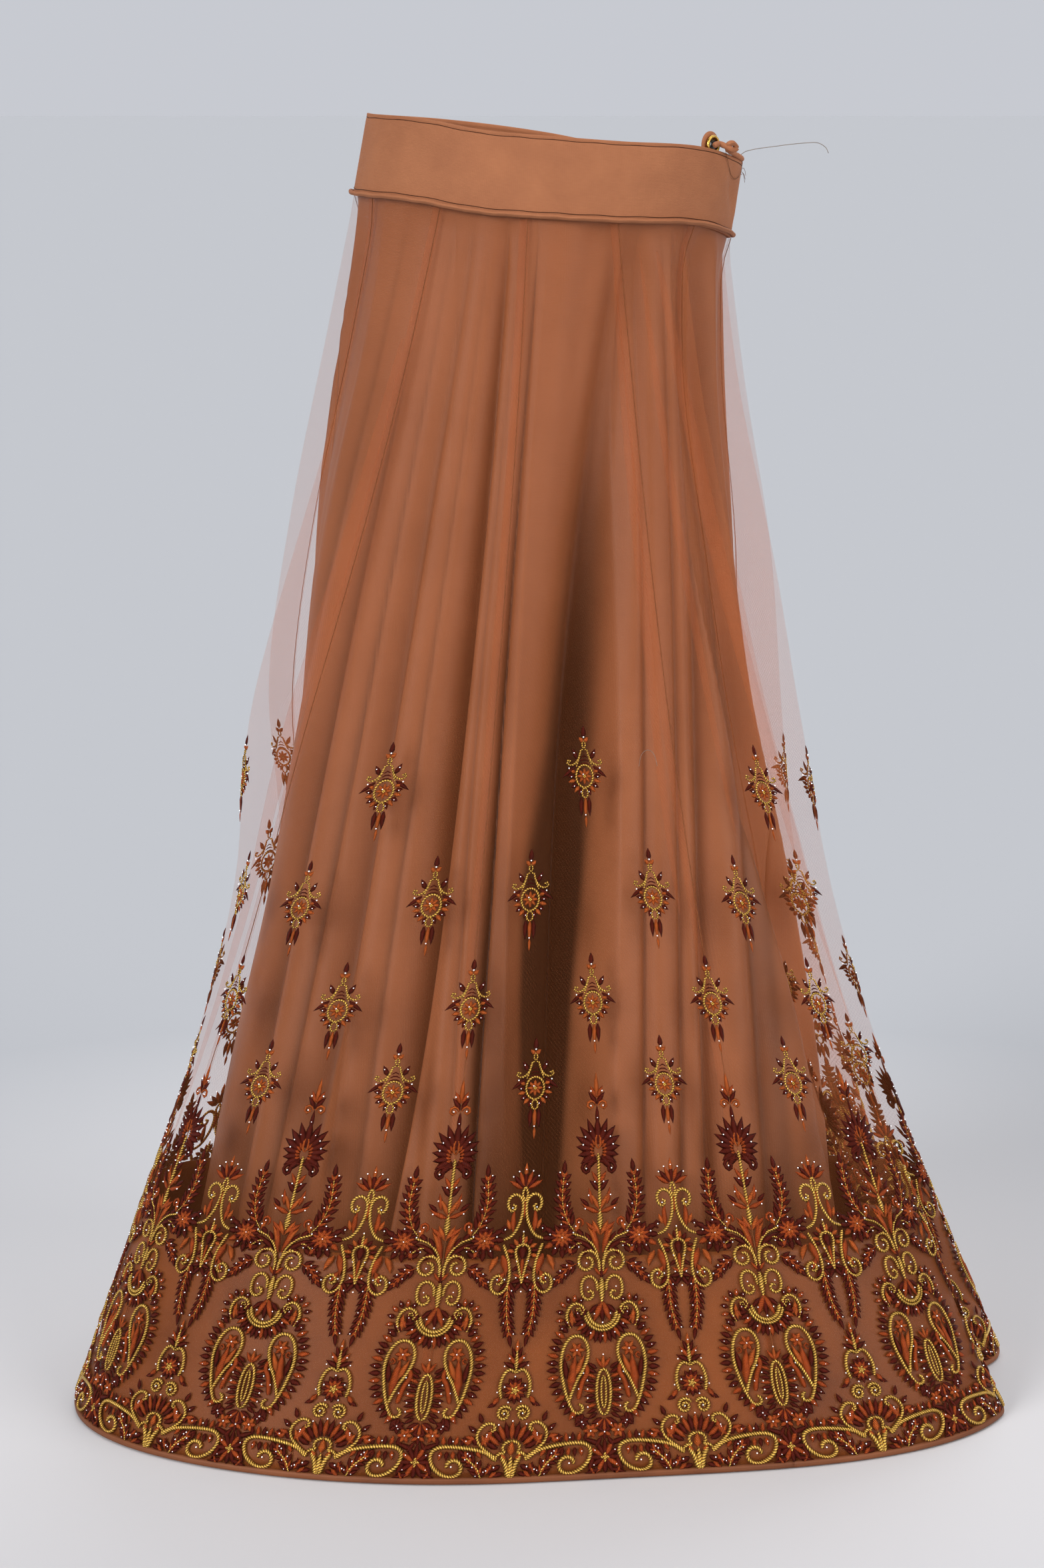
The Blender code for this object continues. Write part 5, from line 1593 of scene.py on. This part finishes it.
def build_stage():
    mesh = bpy.data.meshes.new("floor")
    level = -FLOOR_DROP - FLOOR_GAP
    corners = [(x * FLOOR_HALF, y * FLOOR_HALF, level) for x, y in ((-1, -1), (1, -1), (1, 1), (-1, 1))]
    mesh.from_pydata(corners, [], [(0, 1, 2, 3)])
    s = new_shader("studio_floor")
    away = s.add("VectorMath", {0: s.place()}, output=1, operation="LENGTH")
    # Painted light falloff: the floor is lighter near the middle and darker and bluer farther out
    pale = s.blend(s.span(away, 0.45, 1.6), rgba(243, 240, 241), rgba(183, 186, 192))
    mesh.materials.append(s.solid({"Base Color": pale, "Roughness": 0.9, "Specular IOR Level": 0.0}))
    floor = bpy.data.objects.new("floor", mesh)
    bpy.context.collection.objects.link(floor)


def add_sun(name, power, toward, spread, colour=(1.0, 1.0, 1.0)):
    """A distant lamp in the given direction, as wide as the given angle in degrees."""
    light = bpy.data.lights.new(name, "SUN")
    light.energy = power
    light.angle = np.radians(spread)
    light.color = colour
    lamp = bpy.data.objects.new(name, light)
    lamp.rotation_euler = Vector(toward).to_track_quat("Z", "Y").to_euler()
    bpy.context.collection.objects.link(lamp)


def build_light():
    """A soft studio: its walls are lighter up to a low height and darker over it, and four wide
    suns stand for its lamps."""
    s = Shader(bpy.data.worlds.new("studio"))
    rise = s.add("SeparateXYZ", {0: s.add("TexCoord", output="Generated")}, output=2)
    walls = s.blend(s.span(rise, 0.05, 0.3), (0.574, 0.59, 0.637, 1.0), (0.22, 0.225, 0.24, 1.0))
    bpy.context.scene.world = s.finish(s.add("Background", {"Color": walls}), "OutputWorld")
    add_sun("key", 2.4, (-0.62, -0.76, 0.42), 28.0, (1.0, 0.99, 0.97))
    add_sun("overhead", 1.0, (0.05, 0.1, 1.0), 50.0)
    add_sun("fill", 1.9, (0.8, -0.65, 0.35), 50.0, (1.0, 0.96, 0.91))
    add_sun("rear", 0.9, (0.3, 0.9, 0.5), 50.0)


def build_camera():
    camera = bpy.data.cameras.new("camera")
    camera.lens = 85.0
    camera.sensor_width = 36.0
    viewpoint = bpy.data.objects.new("camera", camera)
    viewpoint.location = CAMERA_PLACE
    viewpoint.rotation_euler = (np.radians(90 - CAMERA_TILT), 0.0, 0.0)
    bpy.context.collection.objects.link(viewpoint)
    bpy.context.scene.camera = viewpoint


build_stage()
build_light()
build_camera()
bpy.context.scene.view_settings.view_transform = "Standard"
# A line of sight crosses many walls of net at the sides before it leaves the skirt
bpy.context.scene.cycles.transparent_max_bounces = 40

bpy.context.view_layer.update()
